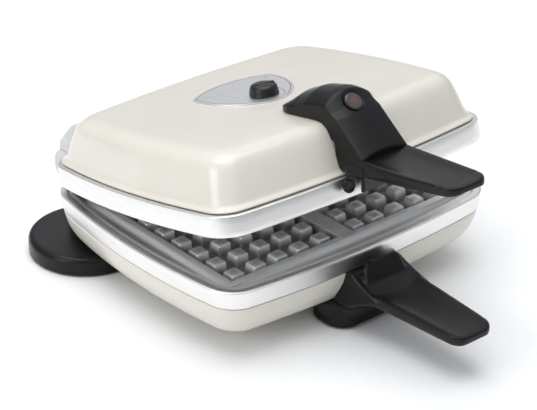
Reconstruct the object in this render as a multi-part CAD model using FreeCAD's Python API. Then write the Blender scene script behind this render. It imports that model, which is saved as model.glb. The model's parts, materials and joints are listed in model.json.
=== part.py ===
import FreeCAD, Part
import math
import os

os.makedirs("parts", exist_ok=True)

# Double waffle maker. Millimetres, x to the right, y to the back, z up.
# Pieces are drawn about the centre of the body, with z = 0 where the two halves meet,
# and the lid drawn shut. They are moved to the table frame as they are written.

# waffle fields: two fields of square posts on each cast plate
cell_pitch = 20.0
cell_columns = 5
cell_rows = 8
divider_half = 6.5          # half the ridge between the two fields
cell_floor = 13.5           # below the parting plane
post_top = 3.5
post_top_size = 10.0
post_base_size = 13.2
field_forward = 4.8         # the fields sit this far in front of the middle of the body
border_land = 5.4           # ridge round the fields
field_half_width = divider_half + cell_columns * cell_pitch
field_half_depth = cell_rows * cell_pitch / 2

# body outline seen from above: four bowed sides and four round corners
side_margin = 18.2
depth_margin = 25.7
half_width = field_half_width + side_margin     # to the corner of the chords, sideways
half_depth = field_half_depth + depth_margin    # to the corner of the chords, front to back
front_bow = 9.0             # how far the front and back sides bow out
side_bow = 10.5             # how far the left and right sides bow out
corner_radius = 25.4
front_face = -(half_depth + front_bow)          # middle of the front side
back_face = half_depth + front_bow

# heights and clearances
parting_height = 60.0       # from the table to where the halves meet
close_gap = 0.8             # between the two steel bands when shut
lid_rest_angle = 10.2       # the lid stands this far open, in degrees
seat_gap = 0.2              # between pieces of one half that lie along each other
run_gap = 0.4               # between pieces that move past each other
fit_gap = 0.05              # round a shaft or a screw, on the radius
sheet = 1.2                 # wall of the pressed steel shells

# steel bands
band_height = 14.7
upper_band_height = 15.6
band_tuck = 1.9             # the lower edge is drawn in by this
band_wall = 1.1
band_lip = 6.5              # the rolled lip reaches in this far
band_ledge = 13.0           # the ledge that carries the cast plate
edge_round = 0.9
upper_band_top = close_gap + upper_band_height

# painted bowl under the lower band: depth below the band, inset, corner radius
bowl_shape = [(0.0, 2.4, 23.0), (9.3, 4.2, 22.5), (18.3, 8.0, 21.5), (24.8, 13.0, 20.5),
              (28.3, 18.5, 20.0), (29.8, 26.0, 19.0)]
bowl_bottom = -band_height - bowl_shape[-1][0]

# painted lid over the upper band: height above the band, inset, corner radius, share of tilt
lid_shape = [(0.0, 4.8, 21.0, 0.0), (2.0, 4.4, 21.0, 0.0), (3.4, 6.4, 21.0, 0.0), (6.1, 8.4, 21.0, 0.0),
             (13.6, 10.8, 21.0, 0.2), (25.6, 15.0, 20.5, 0.8), (30.6, 18.0, 20.0, 1.0),
             (33.9, 22.5, 19.0, 1.0), (34.9, 29.0, 17.0, 1.0)]
lid_tilt = 0.02             # the top falls to the back by this slope
lid_height = upper_band_top + lid_shape[-1][0]

# cast plates
plate_play = 0.5            # between the cast plate and the lip of its band
plate_drop = 1.0            # the rim of the plate lies this far below the lip
plate_back = 3.5            # metal behind the floor of the cells
plate_depth = cell_floor + plate_back
plate_step = 14.0           # inset of the thick middle of the plate
gutter_inset = 11.0
gutter_depth = 6.0
border_drop = 3.0
first_row = cell_pitch / 2 - field_half_depth - field_forward
border_half_width = field_half_width + border_land
border_front = -field_half_depth - field_forward - border_land
border_back = field_half_depth - field_forward + border_land

# heating element, reflector tray and their fixings
tube_radius = 3.5
element_depth = 24.5        # centre of the tube below the parting plane
element_bend = 13.0
element_inner = 22.0
element_side = field_half_width - 8.5
element_middle = (element_inner + element_side) / 2
element_front = -field_half_depth + 8.0
element_fold = -28.0
element_back = field_half_depth - 26.0
element_end = back_face - 13.9
reflector_wall = 0.8
reflector_depth = 37.0
reflector_bend = 30.0
reflector_top = 17.6
reflector_corner = 17.0
reflector_insets = (22.0, 17.5, 15.5)
spacer_radius = 4.0
spacer_x = half_width - 44.7
spacer_y = half_depth - 50.7
clip_width = 13.0
clip_length = 8.0
terminal_half = 28.0
terminal_front = back_face - 15.4
terminal_thick = 2.8
terminal_low = 20.0
terminal_high = 29.0

# hinge at the back
hinge_back = back_face + 11.8
hinge_up = 1.0
knuckle_radius = 13.2
hinge_width = 44.0
hinge_outer = half_width - 24.7
hinge_inner = hinge_outer - hinge_width
hinge_split = hinge_outer - hinge_width / 2
pin_radius = 4.0
pin_bore = 2.2
hinge_foot = -24.0          # where the lower hinge block stands on the rear foot
hinge_web = -3.0            # top of the web beside the lower band

# handles
blade_root_half = 24.0
blade_tip_half = 17.5
blade_root = front_face - 1.3
blade_reach = 105.3
upper_blade_reach = 102.3
blade_tip = front_face - blade_reach
upper_blade_tip = front_face - upper_blade_reach
blade_thick = 9.0
blade_corner = 11.0
dish_start = 18.0
dish_rim = 4.5
dish_depth = 1.6
lower_blade_top = -band_height - 7.3
upper_blade_top = upper_band_top + 12.2
upper_blade_low = upper_blade_top - blade_thick
bracket_half = 28.0
bracket_top = -band_height + 0.7
bracket_split = bowl_bottom + 4.5   # the front foot starts below this
guard_thick = 3.0
guard_root_half = 19.0
guard_tip_half = 14.5
guard_root_y = front_face - 14.8
guard_tip_y = front_face - 7.3
lower_guard_tip = -5.5
upper_guard_tip = 4.2

# hood of the upper handle
hood_half = 21.0
hood_back = front_face + 76.7
hood_face_top = (front_face + 18.2, lid_height + 23.0)
hood_face_low = (front_face - 19.0, upper_blade_top + 6.5)
# crown of the hood: place ahead of its rear end, then how much lower its side edges are than its middle
hood_crown = [(-2.0, 0.6), (9.0, 3.0), (20.0, 6.0), (37.0, 5.6), (54.0, 5.6), (60.0, 5.2), (78.0, 4.6),
              (95.0, 4.0)]
lens_radius = 7.8
lens_thick = 3.2
lens_proud = 0.8
lens_down = 12.4            # from the upper edge of the sloped face to the lens
lamp_radius = 3.5
lamp_length = 9.0

# feet
pad_bottom = -parting_height
foot_bottom = pad_bottom + 0.8
foot_top = bowl_bottom - seat_gap
lobe_x = half_width - 27.1
lobe_y = half_depth - 4.7
lobe_radius = 46.0
lobe_round = 4.5
foot_wall = 3.0
foot_bar_half = 30.0
column_inner = hinge_inner + 5.0
column_outer = hinge_outer - 1.0
column_front = hinge_back - 17.0
column_back = hinge_back + 2.5
front_foot_half = 34.0
front_foot_front = front_face - 4.3
front_foot_back = front_face + 42.0
arch_radius = 26.0
arch_height = 3.5
pad_radius = 9.0
pad_thick = 2.6
front_pad_x = 20.0
front_pad_y = front_face + 16.7
rear_pad_x = lobe_x + 10.4
rear_pad_y = lobe_y + 11.0

# dial plate, thermostat and its knob
dial_y = -3.5               # centre of the knob on the lid
dial_thick = 1.0
knob_radius = 10.9
knob_top_radius = 9.4
knob_height = 9.5
knob_round = 2.0
knob_mark_width = 2.0
knob_mark_depth = 1.0
knob_cap = 3.0              # solid top over the end of the shaft
shaft_radius = 3.0
neck_radius = 4.5
thermostat_half = 16.0
thermostat_depth = 12.0
thermostat_tall = 8.6
thermostat_gap = 0.5
sensor_radius = 2.5

# plate release button in the upper band
button_x = -24.0
button_z = 12.0
button_radius = 5.0
button_stem = 2.2
button_out = 6.6            # how far it stands out of the band
button_stroke = 3.0
button_reach = 5.4          # how far the stem reaches past the inside of the band

# cord gland in the back of the bowl
gland_x = 43.0
gland_z = -27.0
gland_radius = 7.8
gland_flange = 10.0
gland_bore = 4.0
gland_depth = 12.0

# screws
screw_radius = 2.0
screw_head_radius = 3.6
screw_head = 2.4
screw_bite = 11.0           # how far a screw reaches into the piece that it holds
handle_screw_z = bracket_top - 12.0
handle_screw_x = 14.0
upper_handle_screw_z = upper_blade_top + 5.4
upper_handle_screw_x = 12.0
hinge_screw_z = -0.54 * band_height
upper_hinge_screw_z = 27.0
hinge_screw_side = 10.0     # outer screws, in from the end face of the block
hinge_screw_inner = 8.0     # inner screws, out from the inner face of the block
foot_screw_x = 60.0
foot_screw_y = lobe_y - 23.0
front_foot_screw_y = front_face + 34.7

Vec = FreeCAD.Vector
X = Vec(1, 0, 0)
Y = Vec(0, 1, 0)
Z = Vec(0, 0, 1)

front_radius = (half_width ** 2 + front_bow ** 2) / (2 * front_bow)
side_radius = (half_depth ** 2 + side_bow ** 2) / (2 * side_bow)
front_centre = front_radius + front_face
side_centre = side_radius - half_width - side_bow

# the middle of the box round the whole object lies over the origin
body_y = -(blade_tip + lobe_y + lobe_radius) / 2
hinge_point = Vec(0, hinge_back, hinge_up)
to_table = Vec(0, body_y, parting_height)


def corner_centre(reach):
    """Centre of the corner arc whose far side lies `reach` inside both bowed sides, front left."""
    first = front_radius - reach
    second = side_radius - reach
    span = math.hypot(side_centre, front_centre)
    along = (first ** 2 - second ** 2 + span ** 2) / (2 * span)
    aside = math.sqrt(first ** 2 - along ** 2)
    ux, uy = side_centre / span, -front_centre / span
    foot_x, foot_y = along * ux, front_centre + along * uy
    return min((foot_x + aside * s * uy, foot_y - aside * s * ux) for s in (1, -1))


def outline(inset, z, corner=None, tilt=0.0):
    """The body outline drawn in by `inset`, as a closed wire at height z."""
    radius = corner_radius - inset if corner is None else corner
    kx, ky = corner_centre(inset + radius)
    front_angle = math.atan2(ky - front_centre, kx)
    side_angle = math.atan2(ky, kx - side_centre)
    fx = (front_radius - inset) * math.cos(front_angle)
    fy = front_centre + (front_radius - inset) * math.sin(front_angle)
    sx = side_centre + (side_radius - inset) * math.cos(side_angle)
    sy = (side_radius - inset) * math.sin(side_angle)
    mx, my = (fx + sx) / 2 - kx, (fy + sy) / 2 - ky
    mx, my = kx + radius * mx / math.hypot(mx, my), ky + radius * my / math.hypot(mx, my)
    front = front_centre - front_radius + inset
    side = side_centre - side_radius + inset
    ring = [(fx, fy), (0, front), (-fx, fy), (-mx, my), (-sx, sy), (-side, 0), (-sx, -sy), (-mx, -my),
            (-fx, -fy), (0, -front), (fx, -fy), (mx, -my), (sx, -sy), (side, 0), (sx, sy), (mx, my)]
    points = [Vec(x, y, z - tilt * y) for x, y in ring]
    edges = []
    for i in range(0, len(points), 2):
        arc = Part.Arc(points[i], points[i + 1], points[(i + 2) % len(points)])
        edges.append(arc.toShape())
    return Part.Wire(edges)


def slab(inset, low, high, corner=None):
    return Part.Face(outline(inset, low, corner)).extrude(Vec(0, 0, high - low))


def stack(wires):
    return Part.makeLoft(wires, True, True)


def box(x0, x1, y0, y1, z0, z1):
    return Part.makeBox(x1 - x0, y1 - y0, z1 - z0, Vec(x0, y0, z0))


def rod(radius, start, end):
    way = end - start
    return Part.makeCylinder(radius, way.Length, start, way)


def rounded(points, radii):
    """Edges of a closed outline in the plane, with each corner rounded by its own radius."""
    count = len(points)
    ends = []
    for i, point in enumerate(points):
        back = (points[i - 1] - point).normalize()
        ahead = (points[(i + 1) % count] - point).normalize()
        half = math.acos(max(-1.0, min(1.0, back.dot(ahead)))) / 2
        trim = radii[i] / math.tan(half)
        middle = point + (back + ahead).normalize() * (radii[i] / math.sin(half) - radii[i])
        ends.append((point + back * trim, middle, point + ahead * trim))
    edges = []
    for i, (start, middle, end) in enumerate(ends):
        if radii[i] > 0:
            edges.append(Part.Arc(start, middle, end).toShape())
        following = ends[(i + 1) % count][0]
        if (following - end).Length > 1e-6:
            edges.append(Part.LineSegment(end, following).toShape())
    return edges


def prism_z(points, radii, low, high):
    flat = [Vec(x, y, low) for x, y in points]
    return Part.Face(Part.Wire(rounded(flat, radii))).extrude(Vec(0, 0, high - low))


def prism_x(points, radii, left, right):
    flat = [Vec(left, y, z) for y, z in points]
    return Part.Face(Part.Wire(rounded(flat, radii))).extrude(Vec(right - left, 0, 0))


def flipped(shape):
    """The same piece for the other half: mirrored in the parting plane, plus the gap when shut."""
    other = shape.mirror(Vec(0, 0, 0), Z)
    other.translate(Vec(0, 0, close_gap))
    return other


def mirrored(shape):
    return shape.mirror(Vec(0, 0, 0), X)


def save(name, shapes, lid=False):
    group = Part.makeCompound(shapes) if len(shapes) > 1 else shapes[0].copy()
    if lid:
        group.rotate(hinge_point, X, -lid_rest_angle)
    group.translate(to_table)
    solids = group.Solids
    result = solids[0] if len(solids) == 1 else Part.makeCompound(solids)
    result.exportStep("parts/" + name + ".step")
    print(name, len(solids), "solid(s)", round(result.Volume), "mm3")


def band(height):
    outer = stack([outline(band_tuck, -height), outline(0, -edge_round), outline(edge_round, 0)])
    tuck = band_tuck * (1 - band_wall / height)
    hollow = stack([outline(tuck + band_wall, band_wall - height), outline(band_wall, -band_wall)])
    opening = slab(band_lip, -height + band_wall, 1.0)
    floor = slab(band_ledge, -height - 1.0, 1.0)
    return outer.cut([hollow, opening, floor])


def bowl_wires(grow):
    low = -band_height
    return [outline(inset - grow, low - depth, corner + grow) for depth, inset, corner in bowl_shape]


def lid_wires(grow, rise=0.0):
    wires = []
    for height, inset, corner, share in lid_shape:
        wires.append(outline(inset - grow, upper_band_top + height + rise, corner + grow, lid_tilt * share))
    return wires


def lid_top(y):
    """Height of the flat top of the lid at a place front to back."""
    return lid_height - lid_tilt * y


def waffle_plate():
    rim = band_lip + plate_play
    underside = -band_height + band_wall
    plate = slab(rim, underside, -plate_drop).fuse(slab(plate_step, -plate_depth, underside))
    inner = box(-border_half_width, border_half_width, border_front, border_back, -plate_depth, 0)
    gutter = slab(gutter_inset, -gutter_depth, 0).cut(inner)
    lowered = box(-border_half_width, border_half_width, border_front, border_back, -border_drop, 0)
    field_front = first_row - cell_pitch / 2
    field_back = field_front + cell_rows * cell_pitch
    fields = []
    posts = []
    for side in (-1, 1):
        near, far = sorted((side * divider_half, side * field_half_width))
        fields.append(box(near, far, field_front, field_back, -cell_floor, 0))
        for column in range(cell_columns):
            for row in range(cell_rows):
                x = side * (divider_half + cell_pitch * (column + 0.5))
                y = first_row + cell_pitch * row
                posts.append(post(x, y))
    return plate.cut([gutter, lowered] + fields).fuse(posts)


def square(x, y, size, z):
    half = size / 2
    corners = [Vec(x - half, y - half, z), Vec(x + half, y - half, z), Vec(x + half, y + half, z),
               Vec(x - half, y + half, z)]
    return Part.makePolygon(corners + corners[:1])


def post(x, y):
    sunk = 0.5
    grown = post_base_size + sunk * (post_base_size - post_top_size) / (cell_floor - post_top)
    wires = [square(x, y, grown, -cell_floor - sunk), square(x, y, post_top_size, -post_top)]
    return Part.makeLoft(wires, True, True)


def heating_element():
    half = [(-element_inner, element_end), (-element_inner, element_fold), (-element_middle, element_fold),
            (-element_middle, element_back), (-element_side, element_back), (-element_side, element_front)]
    path = half + [(-x, y) for x, y in reversed(half)]
    points = [Vec(x, y, -element_depth) for x, y in path]
    edges = []
    last = points[0]
    for i in range(1, len(points) - 1):
        back = (points[i - 1] - points[i]).normalize()
        ahead = (points[i + 1] - points[i]).normalize()
        start = points[i] + back * element_bend
        end = points[i] + ahead * element_bend
        middle = points[i] + (back + ahead).normalize() * element_bend * (math.sqrt(2) - 1)
        edges.append(Part.LineSegment(last, start).toShape())
        edges.append(Part.Arc(start, middle, end).toShape())
        last = end
    edges.append(Part.LineSegment(last, points[-1]).toShape())
    section = Part.Wire(Part.makeCircle(tube_radius, points[0], Y))
    return Part.Wire(edges).makePipeShell([section], True, False)


def reflector():
    depths = (reflector_depth, reflector_bend, reflector_top)
    outer = stack([outline(inset, -depth, reflector_corner)
                   for inset, depth in zip(reflector_insets, depths)])
    lifts = (reflector_wall, 0, 1.0)
    hollow = stack([outline(inset + reflector_wall, lift - depth, reflector_corner - reflector_wall)
                    for inset, depth, lift in zip(reflector_insets, depths, lifts)])
    ways = [rod(tube_radius + seat_gap, Vec(x, element_end - 10, -element_depth),
                Vec(x, element_end + 2, -element_depth)) for x in (-element_inner, element_inner)]
    return outer.cut([hollow] + ways)


def element_clips():
    clips = []
    seat = -reflector_depth + reflector_wall
    for x in (-element_side, -element_middle, element_middle, element_side):
        y = (element_front + element_back) / 2
        block = box(x - clip_width / 2, x + clip_width / 2, y - clip_length / 2, y + clip_length / 2,
                    seat, -element_depth)
        tube = rod(tube_radius + fit_gap, Vec(x, y - clip_length, -element_depth),
                   Vec(x, y + clip_length, -element_depth))
        clips.append(block.cut(tube))
    return clips


def terminal_block():
    block = box(-terminal_half, terminal_half, terminal_front, terminal_front + terminal_thick,
                -terminal_high, -terminal_low)
    ways = [rod(tube_radius + fit_gap, Vec(x, terminal_front - 1, -element_depth),
                Vec(x, element_end + fit_gap, -element_depth)) for x in (-element_inner, element_inner)]
    return block.cut(ways)


def screw(head, tip):
    """A screw from the outer face of its head to its tip."""
    way = (tip - head).normalize()
    return rod(screw_head_radius, head, head + way * screw_head).fuse(rod(screw_radius, head, tip))


def way_for(head, tip, gap):
    return rod(screw_radius + gap, head, tip + (tip - head).normalize() * gap)


def back_line(x, z, inset):
    """Point on the back of the body, drawn in by `inset`."""
    return Vec(x, back_face - front_bow * (x / half_width) ** 2 - inset, z)


def front_line(x, z, inset):
    return Vec(x, -back_line(x, z, inset).y, z)


def inset_at(shape, height):
    """Inset of a pressed shell at a distance from its band."""
    for lower, upper in zip(shape, shape[1:]):
        if lower[0] <= height <= upper[0]:
            share = (height - lower[0]) / (upper[0] - lower[0])
            return lower[1] + share * (upper[1] - lower[1])
    return shape[-1][1]


def screw_lines(start, way):
    """Head and tip of a screw whose head lies inside the wall at `start`."""
    return start - way * screw_head, start + way * screw_bite


def head_inset(shape, height):
    """How far in a screw head lies, to clear a shell that leans in as it leaves its band."""
    return inset_at(shape, height + screw_head_radius) + sheet + seat_gap


bowl_wall = head_inset(bowl_shape, -band_height - handle_screw_z)
lid_wall = head_inset(lid_shape, upper_handle_screw_z - upper_band_top)
rear_wall = head_inset(lid_shape, upper_hinge_screw_z - upper_band_top)
band_slope = band_tuck / band_height
band_inside = band_wall + band_slope * (screw_head_radius - hinge_screw_z) + seat_gap
outer_screw = hinge_outer - hinge_screw_side
inner_screw = hinge_inner + hinge_screw_inner

handle_screw_lines = [screw_lines(front_line(x, handle_screw_z, bowl_wall), -Y)
                      for x in (-handle_screw_x, handle_screw_x)]
upper_handle_screw_lines = [screw_lines(front_line(x, upper_handle_screw_z, lid_wall), -Y)
                            for x in (-upper_handle_screw_x, upper_handle_screw_x)]
hinge_screw_lines = [screw_lines(back_line(x, hinge_screw_z, band_inside), Y)
                     for x in (-outer_screw, outer_screw)]
short = 6.0                 # the inner screws stop before the lug of the lid
hinge_screw_lines += [(head, tip - Y * short) for head, tip in
                      [screw_lines(back_line(x, hinge_screw_z, band_inside), Y)
                       for x in (-inner_screw, inner_screw)]]
upper_hinge_screw_lines = [screw_lines(back_line(x, upper_hinge_screw_z, rear_wall), Y)
                           for x in (-outer_screw, outer_screw, -inner_screw, inner_screw)]
foot_screw_places = [(-foot_screw_x, foot_screw_y), (foot_screw_x, foot_screw_y),
                     (-front_pad_x, front_foot_screw_y), (front_pad_x, front_foot_screw_y)]
foot_screw_lines = [screw_lines(Vec(x, y, bowl_bottom + sheet), -Z) for x, y in foot_screw_places]


def ways(lines, gap):
    return [way_for(head, tip, gap) for head, tip in lines]


def blade(top, tip):
    root = blade_root
    points = [(-blade_root_half, root), (-blade_tip_half, tip), (blade_tip_half, tip), (blade_root_half, root)]
    body = prism_z(points, [0, blade_corner, blade_corner, 0], top - blade_thick, top)
    inner = [(-blade_root_half + dish_rim, root - dish_start), (-blade_tip_half + dish_rim, tip + dish_rim),
             (blade_tip_half - dish_rim, tip + dish_rim), (blade_root_half - dish_rim, root - dish_start)]
    corner = blade_corner - dish_rim
    return body.cut(prism_z(inner, [corner] * 4, top - dish_depth, top + 1))


def guard(root_z, tip_z):
    """Upright plate between the fingers and the hot band."""
    root = [Vec(x, guard_root_y, root_z) for x in (-guard_root_half, guard_root_half)]
    tip = [Vec(x, guard_tip_y, tip_z) for x in (guard_tip_half, -guard_tip_half)]
    face = Part.Face(Part.makePolygon(root + tip + root[:1]))
    return face.extrude(Vec(0, guard_thick, 0))


def lower_handle():
    keep_out = [slab(-seat_gap, -band_height, 5), stack(bowl_wires(seat_gap))]
    inside = front_face + 17
    profile = [(inside, bracket_top), (front_face - 3.3, bracket_top), (front_face - 23, lower_blade_top - 2),
               (front_face - 23, lower_blade_top - blade_thick), (front_face - 13, bracket_split),
               (inside, bracket_split)]
    bracket = prism_x(profile, [0, 2, 2, 3, 0, 0], -bracket_half, bracket_half)
    piece = bracket.fuse([blade(lower_blade_top, blade_tip), guard(lower_blade_top - 3, lower_guard_tip)])
    return piece.cut(keep_out + ways(handle_screw_lines, fit_gap))


def front_foot():
    keep_out = stack(bowl_wires(seat_gap))
    split = bracket_split - seat_gap
    toe = foot_bottom + 7
    profile = [(front_foot_back, foot_bottom), (front_foot_front, foot_bottom), (front_foot_front - 2.5, toe),
               (front_face - 14, split), (front_face + 19, split), (front_face + 19, foot_top),
               (front_foot_back, foot_top)]
    body = prism_x(profile, [2, 5, 6, 0, 0, 0, 2], -front_foot_half, front_foot_half)
    plan = [(-front_foot_half, front_foot_back), (-front_foot_half, front_foot_front),
            (-bracket_half, front_face - 15), (bracket_half, front_face - 15),
            (front_foot_half, front_foot_front),
            (front_foot_half, front_foot_back)]
    body = body.common(prism_z(plan, [4, 9, 2, 2, 9, 4], foot_bottom, split))
    arch_z = foot_bottom + arch_height - arch_radius
    relief = rod(arch_radius, Vec(0, front_foot_front - 15, arch_z), Vec(0, front_foot_back + 1, arch_z))
    return body.cut([keep_out, relief] + pad_seats() + ways(foot_screw_lines, fit_gap))


def pad_places():
    spots = [(front_pad_x, front_pad_y), (rear_pad_x, rear_pad_y)]
    return [(side * x, y) for x, y in spots for side in (-1, 1)]


def pad_seats():
    return [rod(pad_radius + fit_gap, Vec(x, y, pad_bottom - 1), Vec(x, y, pad_bottom + pad_thick))
            for x, y in pad_places()]


def foot_pads():
    pads = []
    for x, y in pad_places():
        pad = rod(pad_radius, Vec(x, y, pad_bottom), Vec(x, y, pad_bottom + pad_thick))
        rim = [edge for edge in pad.Edges if abs(edge.CenterOfMass.z - pad_bottom) < 0.01]
        pads.append(pad.makeFillet(0.5, rim))
    return pads


def lobe(radius, low, high, top_round):
    piece = rod(radius, Vec(lobe_x, lobe_y, low), Vec(lobe_x, lobe_y, high))
    rim = [edge for edge in piece.Edges if abs(edge.CenterOfMass.z - high) < 0.01]
    return piece.makeFillet(top_round, rim)


def rear_foot():
    """A dumb-bell stand: two round lobes, a bar between them and a column under each hinge block."""
    bar = box(-lobe_x, lobe_x, lobe_y - foot_bar_half, lobe_y + foot_bar_half, foot_bottom, foot_top)
    right = lobe(lobe_radius, foot_bottom, foot_top, lobe_round)
    column = prism_z([(column_inner, column_front), (column_outer, column_front),
                      (column_outer, column_back), (column_inner, column_back)],
                     [0, 0, 6, 6], foot_top - 1, hinge_foot)
    body = bar.fuse([right, mirrored(right), column, mirrored(column)])
    deep = foot_top - foot_wall
    inner = lobe(lobe_radius - foot_wall, foot_bottom - 1, deep, 2.0)
    hollow = box(-lobe_x, lobe_x, lobe_y - foot_bar_half + foot_wall, lobe_y + foot_bar_half - foot_wall,
                 foot_bottom - 1, deep)
    body = body.cut(hollow.fuse([inner, mirrored(inner)]))
    bosses = [rod(pad_radius + 3, Vec(x, y, foot_bottom), Vec(x, y, foot_top - 1)) for x, y in pad_places()
              if y > 0]
    bosses += [rod(5, Vec(tip.x, tip.y, foot_bottom), Vec(tip.x, tip.y, foot_top - 1))
               for head, tip in foot_screw_lines if tip.y > 0]
    return body.fuse(bosses).cut(pad_seats() + ways(foot_screw_lines, fit_gap))


def pin_line(start, end):
    return Vec(start, hinge_back, hinge_up), Vec(end, hinge_back, hinge_up)


def hinge_block_lower():
    inside = hinge_back - 22.5
    profile = [(inside, hinge_foot), (hinge_back + 0.5, hinge_foot), (hinge_back + 5.1, hinge_up - 15.4),
               (hinge_back + 10.4, hinge_up - 8.3), (hinge_back + 0.5, hinge_up), (hinge_back - 8.5, hinge_web),
               (inside, hinge_web)]
    web = prism_x(profile, [0, 2, 0, 0, 0, 0, 0], hinge_inner, hinge_outer)
    knuckle = rod(knuckle_radius, *pin_line(hinge_split + seat_gap, hinge_outer))
    room = rod(knuckle_radius + run_gap, *pin_line(hinge_inner - 1, hinge_split + seat_gap))
    bore = rod(pin_radius + fit_gap / 2, *pin_line(hinge_split - 1, hinge_outer - 2))
    keep_out = [slab(-seat_gap, -band_height, 0), stack(bowl_wires(seat_gap))]
    return web.cut(room).fuse(knuckle).cut(keep_out + [bore] + ways(hinge_screw_lines, fit_gap))


def hinge_block_upper():
    """Fairing on the back of the lid with a lug round the pin; drawn with the lid shut."""
    steps = [(1.0, 4.0), (3.3, 13.6), (-0.2, 21.6), (-17.2, 35.4), (-22.1, 37.8), (-34.7, 40.8),
             (-46.5, 40.8), (-46.5, 9.0), (-12.5, 9.0), (-8.5, 4.0)]
    profile = [(hinge_back + y, hinge_up + z) for y, z in steps]
    body = prism_x(profile, [0, 1.0, 3, 8, 8, 12, 0, 0, 0, 0], hinge_inner, hinge_outer)
    lug = rod(knuckle_radius, *pin_line(hinge_inner, hinge_split - seat_gap))
    room = rod(knuckle_radius + run_gap, *pin_line(hinge_split - seat_gap, hinge_outer + 1))
    bore = rod(pin_radius + fit_gap, *pin_line(hinge_inner - 1, hinge_split + 1))
    band_room = slab(-seat_gap, close_gap - 2, upper_band_top + seat_gap)
    lid_room = stack(lid_wires(seat_gap))
    body = body.cut(room).fuse(lug)
    return body.cut([band_room, lid_room, bore] + ways(upper_hinge_screw_lines, fit_gap))


def hinge_pins():
    pins = []
    for side in (-1, 1):
        start, end = pin_line(side * (hinge_inner + 1), side * (hinge_outer - 2.5))
        pins.append(rod(pin_radius, start, end).cut(rod(pin_bore, start, end)))
    return pins


def lid_shell():
    outer = stack(lid_wires(0))
    inner_wires = lid_wires(-sheet)
    inner_wires[-1] = lid_wires(-sheet, -sheet)[-1]
    inner_wires[-2] = lid_wires(-sheet - 0.6, -0.6)[-2]
    inner_wires[0] = lid_wires(-sheet, -1.0)[0]
    neck = rod(neck_radius + fit_gap, Vec(0, dial_y, lid_height - 20), Vec(0, dial_y, lid_height + 10))
    return outer.cut([stack(inner_wires), neck] + ways(upper_hinge_screw_lines, fit_gap)
                     + ways(upper_handle_screw_lines, fit_gap))


def base_bowl():
    outer = stack(bowl_wires(0))
    inner_wires = bowl_wires(-sheet)
    depth, inset, corner = bowl_shape[-1]
    inner_wires[-1] = outline(inset + sheet, -band_height - depth + sheet, corner - sheet)
    depth, inset, corner = bowl_shape[0]
    inner_wires[0] = outline(inset + sheet, -band_height + 1.0, corner - sheet)
    gland = rod(gland_radius + fit_gap, Vec(gland_x, back_face - 25, gland_z),
                Vec(gland_x, back_face, gland_z))
    return outer.cut([stack(inner_wires), gland] + ways(handle_screw_lines, fit_gap)
                     + ways(foot_screw_lines, fit_gap))


def cord_gland():
    wall = back_line(gland_x, gland_z, bowl_shape[0][1]).y
    body = rod(gland_radius, Vec(gland_x, wall - gland_depth, gland_z), Vec(gland_x, wall + 2, gland_z))
    flange = rod(gland_flange, Vec(gland_x, wall, gland_z), Vec(gland_x, wall + 2.5, gland_z))
    bore = rod(gland_bore, Vec(gland_x, wall - gland_depth - 1, gland_z), Vec(gland_x, wall + 5, gland_z))
    return body.fuse(flange).cut(bore)


def face_direction():
    """Outward normal and downward slope of the sloped face of the hood."""
    top = Vec(0, *hood_face_top)
    down = (Vec(0, *hood_face_low) - top).normalize()
    return top, down, Vec(0, down.z, -down.y)


def lens_frame():
    top, down, normal = face_direction()
    return top + down * lens_down, normal


def height_on(line, y):
    """Height of a broken line that runs to the front."""
    for (y0, z0), (y1, z1) in zip(line, line[1:]):
        if y1 <= y <= y0:
            return z0 + (z1 - z0) * (y0 - y) / (y0 - y1)
    return line[0][1] if y > line[0][0] else line[-1][1]


def crowned(crest):
    """Room under a surface that follows the crest and falls to both sides."""
    wires = []
    for ahead, fall in hood_crown:
        y = hood_back - ahead
        top = height_on(crest, y) + 0.05
        left, right = (Vec(x, y, top - fall) for x in (-hood_half, hood_half))
        low_left, low_right = (Vec(x, y, 0) for x in (-hood_half, hood_half))
        over = Part.Arc(left, Vec(0, y, top), right).toShape()
        sides = Part.makePolygon([right, low_right, low_left, left])
        wires.append(Part.Wire([over] + sides.Edges))
    return Part.makeLoft(wires, True, True)


def upper_handle():
    keep_out = [stack(lid_wires(seat_gap)), slab(-seat_gap, 0, upper_band_top)]
    low = upper_blade_low
    front = front_face - 19
    inside = front_face + 11
    crest = [(hood_back, lid_height + 2.2), (hood_back - 9, lid_height + 9.2),
             (hood_back - 20, lid_height + 15.0), (hood_back - 37, lid_height + 20.6)]
    profile = ([(hood_back, lid_height - 1)] + crest
               + [hood_face_top, hood_face_low, (front, low), (inside, low), (inside, lid_height - 11),
                  (hood_back - 42, lid_height - 1)])
    hood = prism_x(profile, [0, 0, 4, 8, 12, 4, 5, 0, 3, 0, 0], -hood_half, hood_half)
    hood = hood.common(crowned(crest + [hood_face_top, hood_face_low, (front, low + 4)]))
    plan = [(-hood_half, front - 1), (hood_half, front - 1), (hood_half, hood_back), (-hood_half, hood_back)]
    round_end = hood_half - 2
    hood = hood.common(prism_z(plan, [0, 0, round_end, round_end], 0, lid_height + 30))
    spot, normal = lens_frame()
    recess = rod(lens_radius + seat_gap, spot + normal * 5, spot - normal * (lens_thick - lens_proud))
    lamp_way = rod(lamp_radius + 1.0, spot, spot - normal * (lens_thick + lamp_length))
    piece = hood.fuse([blade(upper_blade_top, upper_blade_tip), guard(low + 1, upper_guard_tip)])
    return piece.cut(keep_out + [recess, lamp_way] + ways(upper_handle_screw_lines, fit_gap))


def pilot_lens():
    spot, normal = lens_frame()
    lens = rod(lens_radius, spot - normal * (lens_thick - lens_proud), spot + normal * lens_proud)
    rim = [edge for edge in lens.Edges
           if (edge.CenterOfMass - spot).dot(normal) > lens_proud - 0.1 and len(edge.Vertexes) == 1]
    return lens.makeFillet(0.5, rim)


def pilot_lamp():
    spot, normal = lens_frame()
    start = spot - normal * (lens_thick - lens_proud + seat_gap)
    return rod(lamp_radius, start, start - normal * lamp_length)


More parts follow.
